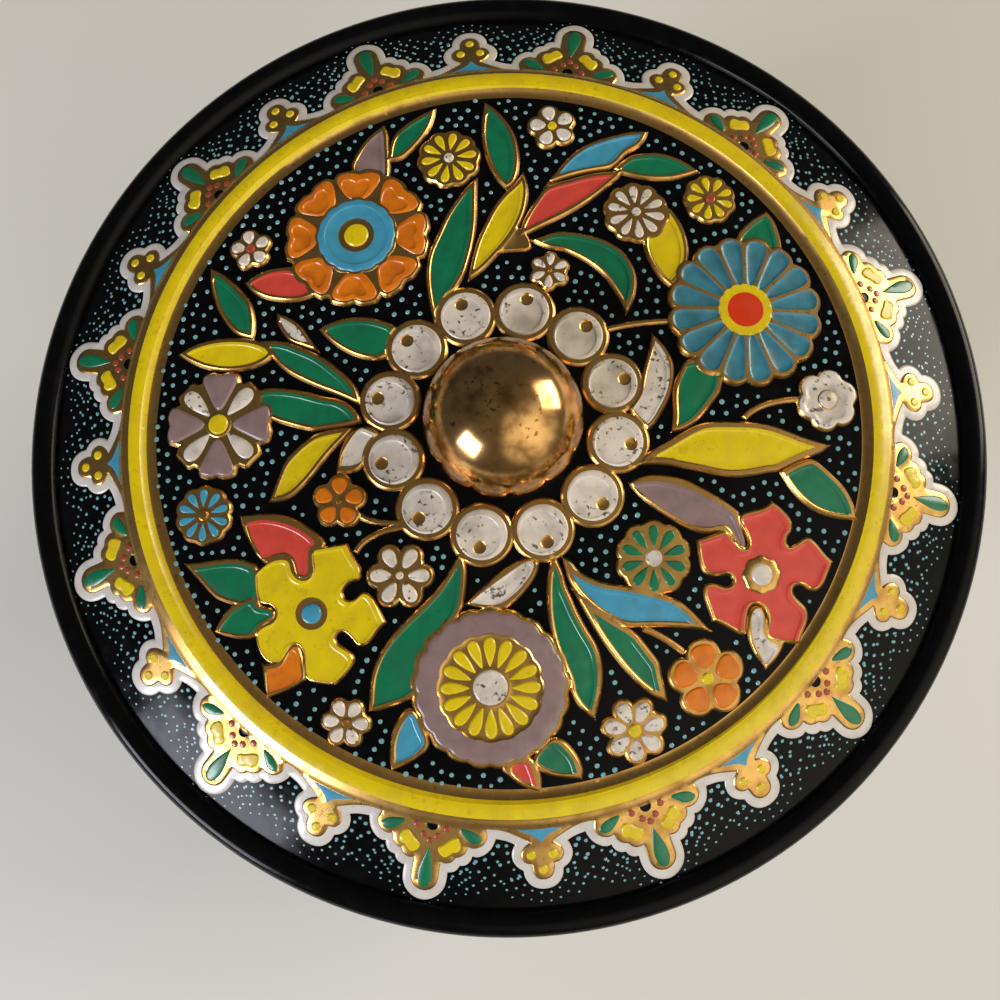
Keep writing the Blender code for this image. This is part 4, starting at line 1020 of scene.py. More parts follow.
    def border(self) -> None:
        """Add the white outline and the motifs of the border."""
        pitch = 360.0 / self.PAIRS
        for line, finish, level in ((self.WHITE_LINE, Finish.LINE, self.WHITE_LEVEL),
                                    (self.GOLD_LINE, Finish.GOLD, self.GOLD_LEVEL)):
            ring = []
            for index in range(self.PAIRS):
                middle = self.turn + index * pitch
                ring += [self._round_about(line, middle, -1.0)[:0:-1], self._round_about(line, middle)[:-1]]
            outline = Plan.rounded(np.concatenate(ring), 1)
            self.patches.append(Patch(outline, finish, level, sectors=(self.turn, self.PAIRS)))
        for index in range(self.PAIRS):
            self._motifs(self.turn + index * pitch)

    def _motifs(self, bearing: float) -> None:
        """Add the fills of a large motif and of the small one after it.

        Args:
            bearing: Direction of the large motif in degrees.
        """
        cap = list(self.CAP_DROP)
        halves = [self._round_about(cap, bearing), self._round_about(cap[-2:1:-1], bearing, -1.0)]
        self._pressed(np.concatenate(halves), Finish.GREEN, self.DROP_LEVEL)
        beads = [(self.RUST_BEADS[-1], 1.0)]
        for hand in (-1.0, 1.0):
            drop = self._round_about(self.SIDE_DROP, bearing, hand)
            self._pressed(drop, Finish.GREEN, self.DROP_LEVEL)
            pad = self._round_about(self.YELLOW_PAD, bearing, hand)
            self._pressed(pad, Finish.YELLOW, self.PAD_LEVEL)
            beads += [(bead, hand) for bead in self.RUST_BEADS[:-1]]
        for bead, hand in beads:
            self._spot(bead, bearing, hand, self.RUST_SPOT)
        self._spot(self.HOLLOW_AT, bearing, 1.0, self.HOLLOW)
        wedge = Plan.smooth(self._round_about(self.TRIANGLE, bearing), 1)
        self.patches.append(Patch(wedge, Finish.BLUE, self.WEDGE_LEVEL, self.WEDGE_EDGE))
        side = 2.0 * self.YELLOW_BEADS[0][0] - self.YELLOW_BEADS[1][0]
        for bead in (*self.YELLOW_BEADS, (side, self.YELLOW_BEADS[1][1])):
            self._spot(bead, bearing, 1.0, self.YELLOW_SPOT)

    # Yellow band with its gold margins; the print sits a little to the right of the pressing
    BAND_WIDTH = 2.1
    BAND_EDGE = 1.1
    BAND_LIFT = 0.8
    BAND_SWELL = 0.15
    BAND_SHIFT = (0.35, 0.1)

    def band(self) -> None:
        """Add the yellow band, its gold margins and the black ground inside them."""
        inner = self.field_radius
        outer = inner + self.BAND_WIDTH
        top = self.BAND_LIFT + self.BAND_SWELL
        still = (0.0, 0.0)
        rings = (
            (still, outer + self.BAND_EDGE, Finish.GOLD, self.BAND_LIFT, 1.0),
            (still, outer, None, top, 0.6),
            (self.BAND_SHIFT, outer - 0.2, Finish.YELLOW, None, 0.5),
            (still, inner + 0.5, None, self.BAND_LIFT, 0.5),
            (self.BAND_SHIFT, inner - 0.35, Finish.GOLD, None, 0.5),
            (still, inner, None, 0.0, self.BAND_EDGE),
            (self.BAND_SHIFT, inner - self.BAND_EDGE - 0.5, Finish.ENAMEL, None, 0.5),
        )
        for middle, radius, finish, level, edge in rings:
            self.patches.append(Patch.disc(np.array(middle), radius, finish, level, edge, step=0.6))

    # Discs round the knob
    PEARLS = 12
    PEARL_REACH = 14.45
    PEARL_SIZE = 3.15
    PEARL_RIM = 0.5
    PEARL_TURN = -0.6
    EYE_OUT = 1.6
    # Finish, height and slope of a pearl and of the hollow in it; its gold ground and its eye, radius first
    PEARL = (Finish.WHITE, 0.50, 0.2)
    PEARL_HOLLOW = (None, 0.38, 0.24)
    PEARL_GROUND = (4.0, Finish.GOLD, 0.34, 0.35)
    PEARL_EYE = (0.84, Finish.GOLD, 0.28, 0.22, 0.0, 0.3)

    def pearls(self) -> None:
        """Add the ring of white discs round the knob."""
        first = self.turn + self.PEARL_TURN
        bearings = [first + index * 360.0 / self.PEARLS for index in range(self.PEARLS)]
        middles = [self._round_about(((0.0, self.PEARL_REACH),), bearing)[0] for bearing in bearings]
        for middle in middles:
            self.patches.append(Patch.disc(middle, *self.PEARL_GROUND))
        for bearing, middle in zip(bearings, middles):
            hollow = self.PEARL_SIZE - self.PEARL_RIM
            self.patches.append(Patch.disc(middle, self.PEARL_SIZE, *self.PEARL))
            self.patches.append(Patch.disc(middle + Plan.SLIP, hollow, *self.PEARL_HOLLOW))
            eye = self._round_about(((0.0, self.PEARL_REACH + self.EYE_OUT),), bearing)[0]
            self.patches.append(Patch.disc(eye, *self.PEARL_EYE))

    # Finish, height, slope, swell and its reach of a leaf's gold ground and of the hollow in it
    LEAF_GROUND = (Finish.GOLD, 0.50, 0.36)
    LEAF_HOLLOW = (None, 0.34, 0.24, 0.12, 1.4)
    LEAF_RIM = 0.08
    STEM = (Finish.GOLD, 0.34, 0.28)
    STEM_WIDTH = 0.85
    BLOT_GROUND = (Finish.GOLD, 0.36, 0.3)

    def _leaf(self, gold: Array, fill: Array, finish: Finish) -> None:
        """Add a leaf, whose enamel is printed a little beside its pressed hollow.

        Args:
            gold: Outline of its gold ground.
            fill: Outline of its enamel.
            finish: Its enamel.
        """
        hollow = Plan.inset(fill + Plan.SLIP, self.LEAF_RIM)
        self.patches += [Patch(gold, *self.LEAF_GROUND), Patch(fill, finish)]
        self.patches.append(Patch(hollow, *self.LEAF_HOLLOW))

    def leaves(self) -> None:
        """Add the stems and the leaves."""
        for stem in STEMS:
            self.patches.append(Patch(Plan.ribbon(stem, self.STEM_WIDTH), *self.STEM))
        self.patches.append(Patch(Plan.rounded(BLOT), *self.BLOT_GROUND))
        for leaf in LEAVES:
            outline = leaf.outline()
            self._leaf(outline, Plan.inset(outline, leaf.rim), leaf.finish)
        for shape in TONGUES:
            self._leaf(Plan.smooth(shape.gold), Plan.smooth(shape.fill), shape.finish)

    def flowers(self) -> None:
        """Add the twenty flowers."""
        white, yellow, gold, orange = Finish.WHITE, Finish.YELLOW, Finish.GOLD, Finish.ORANGE
        # Middle, radius, form, petals, turn, enamel of the petals and of the bead, its radius, slimness
        small = (
            ((-7.2, 35.8), 4.35, ASTER, 10, 81.0, yellow, white, 0.68),
            ((17.2, 27.9), 4.4, ASTER, 10, 96.0, white, white, 0.6),
            ((26.9, 30.0), 3.6, ASTER, 9, 101.0, yellow, Finish.RUST, 0.7),
            ((-37.7, -11.5), 3.9, ASTER, 10, 90.0, Finish.BLUE, gold, 0.75),
            ((18.35, -17.1), 4.8, ASTER, 10, 90.0, Finish.GREEN, white, 1.05),
            ((6.45, 40.4), 3.45, PRIMROSE, 5, 103.0, white, yellow, 0.62, 1.0),
            ((5.9, 19.7), 2.8, PRIMROSE, 6, 85.0, white, gold, 0.35, 0.85),
            ((-33.1, 23.6), 3.0, PRIMROSE, 5, 102.0, white, Finish.RUST, 0.65, 1.0),
            ((-20.4, -10.0), 3.6, PRIMROSE, 5, 88.0, orange, gold, 0.4, 1.1),
            ((-12.7, -19.2), 4.3, PRIMROSE, 6, 60.0, white, white, 0.5, 0.9),
            ((-19.2, -36.9), 3.25, PRIMROSE, 6, 55.0, white, gold, 0.5, 1.1),
            ((24.7, -31.6), 4.95, PRIMROSE, 5, 100.0, orange, yellow, 0.75, 1.28),
            ((15.8, -37.8), 4.25, PRIMROSE, 7, -86.0, white, yellow, 0.8, 1.1),
        )
        for at, size, *form in small:
            bloom = Bloom(at, size)
            bloom.small(*form)
            self.patches += bloom.patches
        for bloom in (self._scallops(), self._daisy(), self._wheel(), self._rose(), self._yellow(),
                      self._collar(), self._coral()):
            self.patches += bloom.patches

    def _scallops(self) -> Bloom:
        """The orange flower of eight broad petals round blue and yellow discs."""
        bloom = Bloom((-19.1, 24.9), 9.7)
        size = bloom.size

        def edge(angle: Array) -> Array:
            """Outline of eight petals with a dent in the end of each."""
            fold = np.abs((angle - 90.0 + 22.5) % 45.0 - 22.5)
            dent = 0.045 * np.exp(-(fold / 3.5) ** 2)
            valley = 0.07 * np.exp(-((22.5 - fold) / 2.5) ** 2)
            return size * (1.0 - dent - valley)
        bloom.add(Plan.loop(edge, size), Finish.GOLD, bloom.BASE, 0.35)
        for index in range(8):
            turn = 90.0 + 45.0 * index
            petal = self._heart(5.2, 9.1, 40.5, 0.045)
            bloom.add(Plan.turned(petal, turn), Finish.ORANGE, 0.64, 0.22, 0.05)
            petal = self._heart(5.6, 8.3, 30.0, 0.06)
            bloom.add(Plan.turned(petal, turn) + Plan.SLIP, None, 0.46, 0.28)
        bloom.add(Plan.lobed(5.45, 16, 0.04, 90.0), Finish.GOLD, 0.60, 0.2)
        bloom.add(Plan.lobed(5.1, 16, 0.04, 90.0), Finish.BLUE, 0.80, 0.25)
        bloom.add(Plan.circle(4.2), None, 0.64, 0.3)
        bloom.round(2.35, Finish.GOLD, 0.58, 0.25)
        bloom.button(1.6, Finish.YELLOW, 0.78, 0.12)
        return bloom

    @staticmethod
    def _heart(start: float, end: float, spread: float, dent: float) -> Array:
        """Petal between two distances that points along +X and has a dent in its end.

        Args:
            start: Distance of its inner end.
            end: Distance of its outer end.
            spread: Its angle at the outer end, in degrees.
            dent: Depth of the dent, as a share of the distance.

        Returns:
            The outline.
        """
        half = math.radians(spread / 2.0)
        corners = [(start, -0.62 * half), (0.5 * (start + end), -0.95 * half), (0.92 * end, -1.02 * half),
                   (end * 1.01, -0.84 * half), (end * 1.01, -0.35 * half), (end * (1.0 - dent), 0.0)]
        corners += [(far, -off) for far, off in corners[-2::-1]]
        points = [(far * math.cos(off), far * math.sin(off)) for far, off in corners]
        return Plan.rounded(points)

    def _daisy(self) -> Bloom:
        """The great teal daisy with gold ribs and a flat yellow and red middle."""
        bloom = Bloom((30.8, 14.6), 10.2)
        count = 16
        pitch = 360.0 / count
        first = 89.0 + pitch / 2.0
        bloom.add(Plan.lobed(bloom.size, count, 0.08, first), Finish.GOLD, 0.66, 0.4)
        half = math.radians(pitch / 2.0)
        for index in range(count):
            points = [(3.2, -0.7), (6.0, -0.84), (8.4, -0.86), (9.3, -0.62), (9.6, 0.0)]
            points += [(far, -off) for far, off in points[-2::-1]]
            wedge = [(far * math.cos(off * half), far * math.sin(off * half)) for far, off in points]
            petal = Plan.turned(Plan.rounded(wedge), first + pitch * index)
            bloom.add(petal, Finish.TEAL, 0.44, 0.34)
        bloom.round(3.45, Finish.YELLOW, 0.64, 0.25)
        bloom.add(Plan.circle(2.32), Finish.RED)
        return bloom

    def _wheel(self) -> Bloom:
        """The flower of four broad mauve petals over four white ones."""
        bloom = Bloom((-36.15, 0.0), 7.1)

        def edge(angle: Array) -> Array:
            """Outline of eight lobes, every other one with a dent."""
            fold = np.abs((angle + 45.0) % 90.0 - 45.0)
            valley = 0.14 * np.exp(-((fold - 27.0) / 4.5) ** 2)
            dent = 0.05 * np.exp(-(fold / 5.0) ** 2)
            shorter = 0.05 * np.exp(-((45.0 - fold) / 12.0) ** 2)
            return bloom.size * (1.0 - valley - dent - shorter)
        bloom.add(Plan.loop(edge, bloom.size), Finish.GOLD, bloom.BASE, 0.4)
        for index in range(4):
            turn = 90.0 * index
            outline = Plan.petal(1.6, 6.1, 2.1, turn + 47.0, 0.6, 22)
            bloom.add(outline, Finish.WHITE, 0.62, 0.28, 0.08)
        for index in range(4):
            petal = self._heart(1.9, 6.75, 44.0, 0.055)
            bloom.add(Plan.turned(petal, 90.0 * index), Finish.MAUVE, 0.72, 0.3, 0.06)
        bloom.round(1.7, Finish.GOLD, 0.62, 0.25)
        bloom.button(1.3, Finish.YELLOW, 0.80, 0.1)
        return bloom

    def _rose(self) -> Bloom:
        """The grey white rose of six petals that run together."""
        bloom = Bloom((40.9, 3.0), 4.15)
        outline = Plan.lobed(4.15, 6, 0.17, 80.0)
        bloom.add(outline, Finish.GOLD, bloom.BASE, 0.35)
        bloom.add(Plan.inset(outline, 0.32), Finish.WHITE, 0.62, 0.3)
        bloom.add(Plan.lobed(3.0, 6, 0.25, 80.0) + Plan.SLIP, None, 0.42, 0.5)
        bloom.round(1.3, Finish.GOLD, 0.56, 0.2)
        bloom.button(1.15, Finish.WHITE, 0.66, 0.1)
        bloom.button(0.28, Finish.GOLD, 0.62, 0.0)
        return bloom

    def _traced(self, bloom: Bloom, outline: Points, finish: Finish, rim: float) -> None:
        """Add a slotted flower from its traced outline.

        Args:
            bloom: The flower.
            outline: Its outline on the lid.
            finish: Its enamel.
            rim: Width of its gold edge.
        """
        ring = Plan.smooth(outline) - np.array(bloom.at)
        fill = Plan.inset(ring, rim)
        bloom.add(ring, Finish.GOLD, bloom.BASE, 0.35)
        bloom.add(fill, finish)
        bloom.add(Plan.inset(fill + Plan.SLIP, 0.1), None, 0.36, 0.3, 0.06, 1.5)

    def _yellow(self) -> Bloom:
        """The great yellow bloom with a blue bead."""
        bloom = Bloom((-23.6, -23.8), 9.0)
        self._traced(bloom, YELLOW_BLOOM, Finish.YELLOW, 0.36)
        bloom.round(2.0, Finish.GOLD, 0.40, 0.4)
        bloom.button(1.25, Finish.BLUE, 0.56, 0.25)
        return bloom

    def _coral(self) -> Bloom:
        """The great coral bloom with a white bead in a gold rosette."""
        bloom = Bloom((31.6, -19.1), 9.0)
        self._traced(bloom, CORAL_BLOOM, Finish.CORAL, 0.5)
        bloom.add(Plan.lobed(2.4, 8, 0.12, 0.0), Finish.GOLD, 0.66, 0.3)
        bloom.button(1.3, Finish.WHITE, 0.72, 0.3)
        return bloom

    def _collar(self) -> Bloom:
        """The mauve collar round a yellow rosette with a white bead."""
        bloom = Bloom((-1.6, -32.7), 9.8)
        bloom.add(Plan.lobed(9.8, 21, 0.04, 90.0), Finish.GOLD, bloom.BASE, 0.4)
        bloom.add(Plan.lobed(9.15, 21, 0.04, 90.0), Finish.MAUVE, 0.64, 0.3, 0.05, 1.2)
        bloom.add(Plan.lobed(6.55, 16, 0.04, 90.0), Finish.GOLD, 0.48, 0.3)
        for index in range(16):
            outline = Plan.petal(2.5, 6.1, 1.5, 91.0 + 22.5 * index, 0.6, 16)
            bloom.add(outline, Finish.YELLOW, 0.62, 0.2, 0.06, 0.4)
        bloom.round(2.5, Finish.GOLD, 0.52, 0.2)
        bloom.button(2.1, Finish.WHITE, 0.68, 0.1)
        return bloom

    def build(self) -> list[Patch]:
        """Lay out the pattern.

        Returns:
            The patches, from the lowest to the topmost.
        """
        self.border()
        self.band()
        self.leaves()
        self.pearls()
        self.flowers()
        return self.patches


class Turned:
    """Helpers for pieces that are turned round the axis."""

    @staticmethod
    def arc(middle: Pair, radius: float, start: float, end: float,
            steps: int) -> list[Pair]:
        """Points of an arc of a turned profile, as radius and height."""
        angles = [math.radians(start + (end - start) * step / steps) for step in range(steps + 1)]
        return [(middle[0] + radius * math.cos(a), middle[1] + radius * math.sin(a)) for a in angles]

    @staticmethod
    def spin(profile: list[Pair], sides: int, closed: bool) -> tuple[Array, list[tuple]]:
        """Turn a profile once round the axis, with its outside on the right of the way along it.

        Args:
            profile: Points as radius and height; points on the axis close the shape.
            sides: Number of sides.
            closed: Whether the last point joins the first.

        Returns:
            The points and the faces, whose order follows the profile, ring by ring.
        """
        points: list[tuple[float, float, float]] = []
        rows: list[list[int]] = []
        for radius, height in profile:
            if radius < 1e-9:
                rows.append([len(points)] * sides)
                points.append((0.0, 0.0, height))
                continue
            rows.append(list(range(len(points), len(points) + sides)))
            for side in range(sides):
                turn = 2.0 * math.pi * side / sides
                points.append((radius * math.cos(turn), radius * math.sin(turn), height))
        pairs = list(zip(rows, rows[1:]))
        if closed:
            pairs.append((rows[-1], rows[0]))
        faces = []
        for low, high in pairs:
            for side in range(sides):
                after = (side + 1) % sides
                ring = (low[side], low[after], high[after], high[side])
                face = tuple(dict.fromkeys(ring))
                if len(face) > 2:
                    faces.append(face)
        return np.array(points), faces

    # Angle in degrees above which an edge stays sharp
    SHARP = 30.0

    @classmethod
    def build(cls, name: str, points: Array, faces: list[tuple], slots: list[int],
              materials: list[Material]) -> Item:
        """Make an object from points and faces.

        Args:
            name: Its name.
            points: Its points in millimetres.
            faces: Its faces.
            slots: The material slot of each face.
            materials: Its materials.

        Returns:
            The object.
        """
        mesh = bpy.data.meshes.new(name)
        mesh.from_pydata([tuple(point) for point in points * MM], [], [tuple(face) for face in faces])
        for material in materials:
            mesh.materials.append(material)
        mesh.polygons.foreach_set("material_index", np.array(slots, dtype=np.int32))
        mesh.update()
        mesh.validate()
        mesh.shade_smooth()
        mesh.set_sharp_from_angle(angle=math.radians(cls.SHARP))
        LOG.info("%s: %d faces", name, len(faces))
        return place(name, mesh)


@dataclass
class Lid:
    """The pressed lid: dome with its pattern, rim bead, skirt, hem and bare inside.

    Sizes are in millimetres.
    """

    radius: float = 63.5
    bead_radius: float = 1.9
    bead_z: float = 121.4
    bead_start: float = 150.0
    bead_end: float = -50.0
    skirt_outside: float = 62.9
    sheet: float = 0.3
    edge_z: float = 111.3
    hem_height: float = 1.6
    border_width: float = 13.4
    panel_rise: float = 2.9
    border_drop: float = 4.6
    border_slope: float = 0.25
    sides: int = 240
    bead_steps: int = 22
    inner_bead_steps: int = 12
    hem_round: float = 0.1
    lining: float = 0.345
    lining_rings: int = 14
    ground_step: float = 1.15
    ground_margin: float = 0.6
    cell: float = 0.5

    def __post_init__(self) -> None:
        """Work out the sizes that follow from the others."""
        self.bead_middle = self.radius - self.bead_radius
        start = math.radians(self.bead_start)
        self.crease = self.bead_middle + self.bead_radius * math.cos(start)
        self.crease_z = self.bead_z + self.bead_radius * math.sin(start)
        self.field_radius = self.crease - self.border_width
        self.patches = Ornament(self.field_radius).build()

    def dome(self, radius: Array) -> Array:
        """Height of the smooth dome.

        Args:
            radius: Distance from the axis.

        Returns:
            The height above the floor.
        """
        ring_z = self.crease_z + self.border_drop
        panel = ring_z + self.panel_rise * (1.0 - (radius / self.field_radius) ** 2)
        out = radius - self.field_radius
        steepening = (self.border_drop - self.border_slope * self.border_width) / self.border_width ** 2
        border = ring_z - self.border_slope * out - steepening * out ** 2
        return np.where(out < 0.0, panel, border)

    def _plan_mesh(self) -> tuple[Array, list[tuple]]:
        """Triangulate the plan of the pattern.

        Returns:
            Plan points in millimetres and triangles.
        """
        loops = [Plan.circle(self.crease, 2.0 * math.pi * self.crease / self.sides)]
        for patch in self.patches:
            loops += patch.contours()
        flat: list[Pair] = []
        edges: list[tuple[int, int]] = []
        for loop in loops:
            first, count = len(flat), len(loop)
            flat.extend((float(x), float(y)) for x, y in loop)
            edges.extend((first + index, first + (index + 1) % count) for index in range(count))
        steps = np.arange(-self.crease, self.crease, self.ground_step)
        across, up = np.meshgrid(steps, steps * math.sqrt(0.75))
        across = across + np.where(np.arange(len(steps)) % 2, self.ground_step / 2, 0.0)[:, None]
        grid = np.stack([across.ravel(), up.ravel()], axis=1)
        grid = grid[np.linalg.norm(grid, axis=1) < self.crease - self.ground_margin]
        taken = {tuple(spot) for spot in np.floor(np.array(flat) / self.cell).astype(int)}
        clear = [tuple(spot) not in taken for spot in np.floor(grid / self.cell).astype(int)]
        flat.extend((float(x), float(y)) for x, y in grid[clear])
        points, _, faces, *_ = delaunay_2d_cdt(flat, edges, [], 0, WELD)
        return np.array([tuple(point) for point in points]), faces

    def _finishes(self, middles: Array) -> Array:
        """Topmost finish at plan points.

        Args:
            middles: The points.

        Returns:
            The slot of the finish at each.
        """
        slots = np.zeros(len(middles), dtype=np.int32)
        for patch in self.patches:
            near = patch.inside(middles)
            if patch.finish is not None and len(near):
                slots[near[patch.depth(middles[near]) > 0.0]] = patch.finish.slot
        return slots

    def height(self, plan: Array) -> Array:
        """Height of the pressed sheet at plan points.

        Args:
            plan: The points in millimetres.

        Returns:
            The heights above the floor.
        """
        lift = np.zeros(len(plan))
        for patch in self.patches:
            patch.press(plan, lift)
        return self.dome(np.linalg.norm(plan, axis=1)) + lift

    def _shell(self) -> tuple[Array, list[tuple], list[int]]:
        """Turn the rim bead, the skirt, its hem and the bare inside.

        Returns:
            Points, the crease's ring first, faces and the slot of each face.
        """
        bead = (self.bead_middle, self.bead_z)
        skirt_inside = self.skirt_outside - self.sheet
        hem = skirt_inside - self.sheet
        corner_z = self.edge_z + 2 * self.hem_round
        hem_top = self.edge_z + self.hem_height
        outside = Turned.arc(bead, self.bead_radius, self.bead_start, self.bead_end, self.bead_steps)
        outside += [(self.skirt_outside, corner_z), (self.skirt_outside - self.hem_round, self.edge_z)]
        inside = [(hem + self.hem_round, self.edge_z), (hem, corner_z), (hem, hem_top)]
        inside.append((skirt_inside, hem_top))
        inside += Turned.arc(bead, self.bead_radius - self.sheet, self.bead_end, self.bead_start,
                             self.inner_bead_steps)[:-1]
        radii = np.linspace(self.crease, 0.0, self.lining_rings)
        inside += [(float(r), float(z) - self.lining) for r, z in zip(radii, self.dome(radii))]
        points, faces = Turned.spin(outside + inside, self.sides, False)
        slots = [Finish.ENAMEL.slot] * ((len(outside) - 1) * self.sides)
        slots += [Finish.TIN.slot] * (len(faces) - len(slots))
        return points, [face[::-1] for face in faces], slots

    def build(self, materials: list[Material]) -> Item:
        """Make the lid.

        Args:
            materials: One material for each finish, in order.

        Returns:
            The object.
        """
        plan, top_faces = self._plan_mesh()
        top = np.column_stack([plan, self.height(plan)])
        points, faces, slots = self._shell()
        slots += [int(slot) for slot in self._finishes(plan[np.array(top_faces)].mean(axis=1))]
        join = np.arange(len(top)) + len(points)
        edge = np.abs(np.linalg.norm(plan, axis=1) - self.crease) < WELD * 5
        share = np.degrees(np.arctan2(plan[edge, 1], plan[edge, 0])) % 360.0 / 360.0
        join[edge] = np.round(share * self.sides).astype(int) % self.sides
        faces += [tuple(join[corner] for corner in face) for face in top_faces]
        everything = np.concatenate([points, top])
        used = np.zeros(len(everything), dtype=bool)
        used[[corner for face in faces for corner in face]] = True
        renumber = np.cumsum(used) - 1
        faces = [tuple(int(renumber[corner]) for corner in face) for face in faces]
        return Turned.build("lid_dressed", everything[used], faces, slots, materials)


class DotTree:
    """Geometry Nodes trees that strew or row painted dots over a surface."""

    COMMON = (("Dot Radius", "NodeSocketFloat"), ("Drop Height", "NodeSocketFloat"),
              ("Paint", "NodeSocketMaterial"))
    # Sides of a drop, width of its top against its foot, smallest and largest drop, seed of their sizes
    SIDES = 8
    TOP = 0.72
    ODD_SIZES = (0.82, 1.18)
    SEED = 5
    # More dots to a square metre than the gap leaves room for
    DENSITY = 4.0e6

    @staticmethod
    def _tree(name: str, inputs: tuple[tuple[str, str], ...]) -> Tree:
        """Start a tree with a geometry input, the named inputs and a geometry output.

        Args:
            name: Name of the tree.
            inputs: Names and socket types.

        Returns:
            The tree.
        """
        tree = bpy.data.node_groups.new(name, "GeometryNodeTree")
        tree.interface.new_socket(name="Geometry", in_out="INPUT", socket_type="NodeSocketGeometry")
        for label, kind in inputs:
            tree.interface.new_socket(name=label, in_out="INPUT", socket_type=kind)
        tree.interface.new_socket(name="Geometry", in_out="OUTPUT", socket_type="NodeSocketGeometry")
        return tree

    @classmethod
    def _dots(cls, tree: Tree, start: Node, points: Socket, turn: Socket) -> None:
        """Put a low painted drop on each point and end the tree.

        Args:
            tree: The tree.
            start: Its input node.
            points: The points.
            turn: Their rotation.
        """
        link = tree.links.new
        drop = NodeKit.add(tree, "GeometryNodeMeshCone", fill_type="NGON")
        drop.inputs["Vertices"].default_value = cls.SIDES
        link(start.outputs["Drop Height"], drop.inputs["Depth"])
        link(start.outputs["Dot Radius"], drop.inputs["Radius Bottom"])
        slim = NodeKit.maths(tree, "MULTIPLY", start.outputs["Dot Radius"], cls.TOP)
        link(slim, drop.inputs["Radius Top"])
        size = NodeKit.attribute(tree, "dot_size", "FLOAT")
        odd = NodeKit.add(tree, "FunctionNodeRandomValue", data_type="FLOAT")
        odd.inputs[2].default_value, odd.inputs[3].default_value = cls.ODD_SIZES
        odd.inputs["Seed"].default_value = cls.SEED
        scale = NodeKit.maths(tree, "MULTIPLY", size, odd.outputs[1])
        lay = NodeKit.add(tree, "GeometryNodeInstanceOnPoints")
        link(points, lay.inputs["Points"])
        link(drop.outputs["Mesh"], lay.inputs["Instance"])
        link(turn, lay.inputs["Rotation"])
        link(scale, lay.inputs["Scale"])
        real = NodeKit.add(tree, "GeometryNodeRealizeInstances")
        link(lay.outputs["Instances"], real.inputs["Geometry"])
        paint = NodeKit.add(tree, "GeometryNodeSetMaterial")
        link(real.outputs["Geometry"], paint.inputs["Geometry"])
        link(start.outputs["Paint"], paint.inputs["Material"])
        end = NodeKit.add(tree, "NodeGroupOutput")
        link(paint.outputs["Geometry"], end.inputs["Geometry"])

    @classmethod
    def strewn(cls) -> Tree:
        """Tree that strews dots over a surface with even gaps.

        Returns:
            The tree.
        """
        inputs = cls.COMMON + (("Gap", "NodeSocketFloat"), ("Seed", "NodeSocketInt"))
        tree = cls._tree("strewn stipple", inputs)
        start = NodeKit.add(tree, "NodeGroupInput")
        spread = NodeKit.add(tree, "GeometryNodeDistributePointsOnFaces", distribute_method="POISSON")
        tree.links.new(start.outputs["Geometry"], spread.inputs["Mesh"])
        tree.links.new(start.outputs["Gap"], spread.inputs["Distance Min"])
        spread.inputs["Density Max"].default_value = cls.DENSITY
        tree.links.new(start.outputs["Seed"], spread.inputs["Seed"])
        tree.links.new(NodeKit.attribute(tree, "room", "FLOAT"), spread.inputs["Density Factor"])
        cls._dots(tree, start, spread.outputs["Points"], spread.outputs["Rotation"])
        return tree

    @classmethod
    def rowed(cls) -> Tree:
        """Tree that sets dots at even steps along lines.

        Returns:
            The tree.
        """
        inputs = cls.COMMON + (("Step", "NodeSocketFloat"),)
        tree = cls._tree("rowed stipple", inputs)
        link = tree.links.new
        start = NodeKit.add(tree, "NodeGroupInput")
        line = NodeKit.add(tree, "GeometryNodeMeshToCurve")
        link(start.outputs["Geometry"], line.inputs["Mesh"])
        even = NodeKit.add(tree, "GeometryNodeResampleCurve", mode="LENGTH")
        link(line.outputs["Curve"], even.inputs["Curve"])
        link(start.outputs["Step"], even.inputs["Length"])
        lean = NodeKit.add(tree, "FunctionNodeAlignEulerToVector", axis="Z")
        link(NodeKit.attribute(tree, "up", "FLOAT_VECTOR"), lean.inputs["Vector"])
        cls._dots(tree, start, even.outputs["Curve"], lean.outputs["Rotation"])
        return tree

    @staticmethod
    def grow(name: str, host: Item, tree: Tree, values: dict[str, object]) -> Item:
        """Run a tree on a host and keep the result as a plain mesh.

        Args:
            name: Name of the new object.
            host: The object that carries the lines or the surface; it is removed.
            tree: The tree.
            values: The tree's inputs by name.

        Returns:
            The new object.
        """
        modifier = host.modifiers.new("stipple", "NODES")
        modifier.node_group = tree
        for socket in tree.interface.items_tree:
            if socket.in_out == "INPUT" and socket.name in values:
                modifier[socket.identifier] = values[socket.name]
        bpy.context.view_layer.update()
        graph = bpy.context.evaluated_depsgraph_get()
        mesh = bpy.data.meshes.new_from_object(host.evaluated_get(graph), depsgraph=graph)
        mesh.name = name
        bpy.data.objects.remove(host, do_unlink=True)
        LOG.info("%s: %d faces", name, len(mesh.polygons))
        return place(name, mesh)


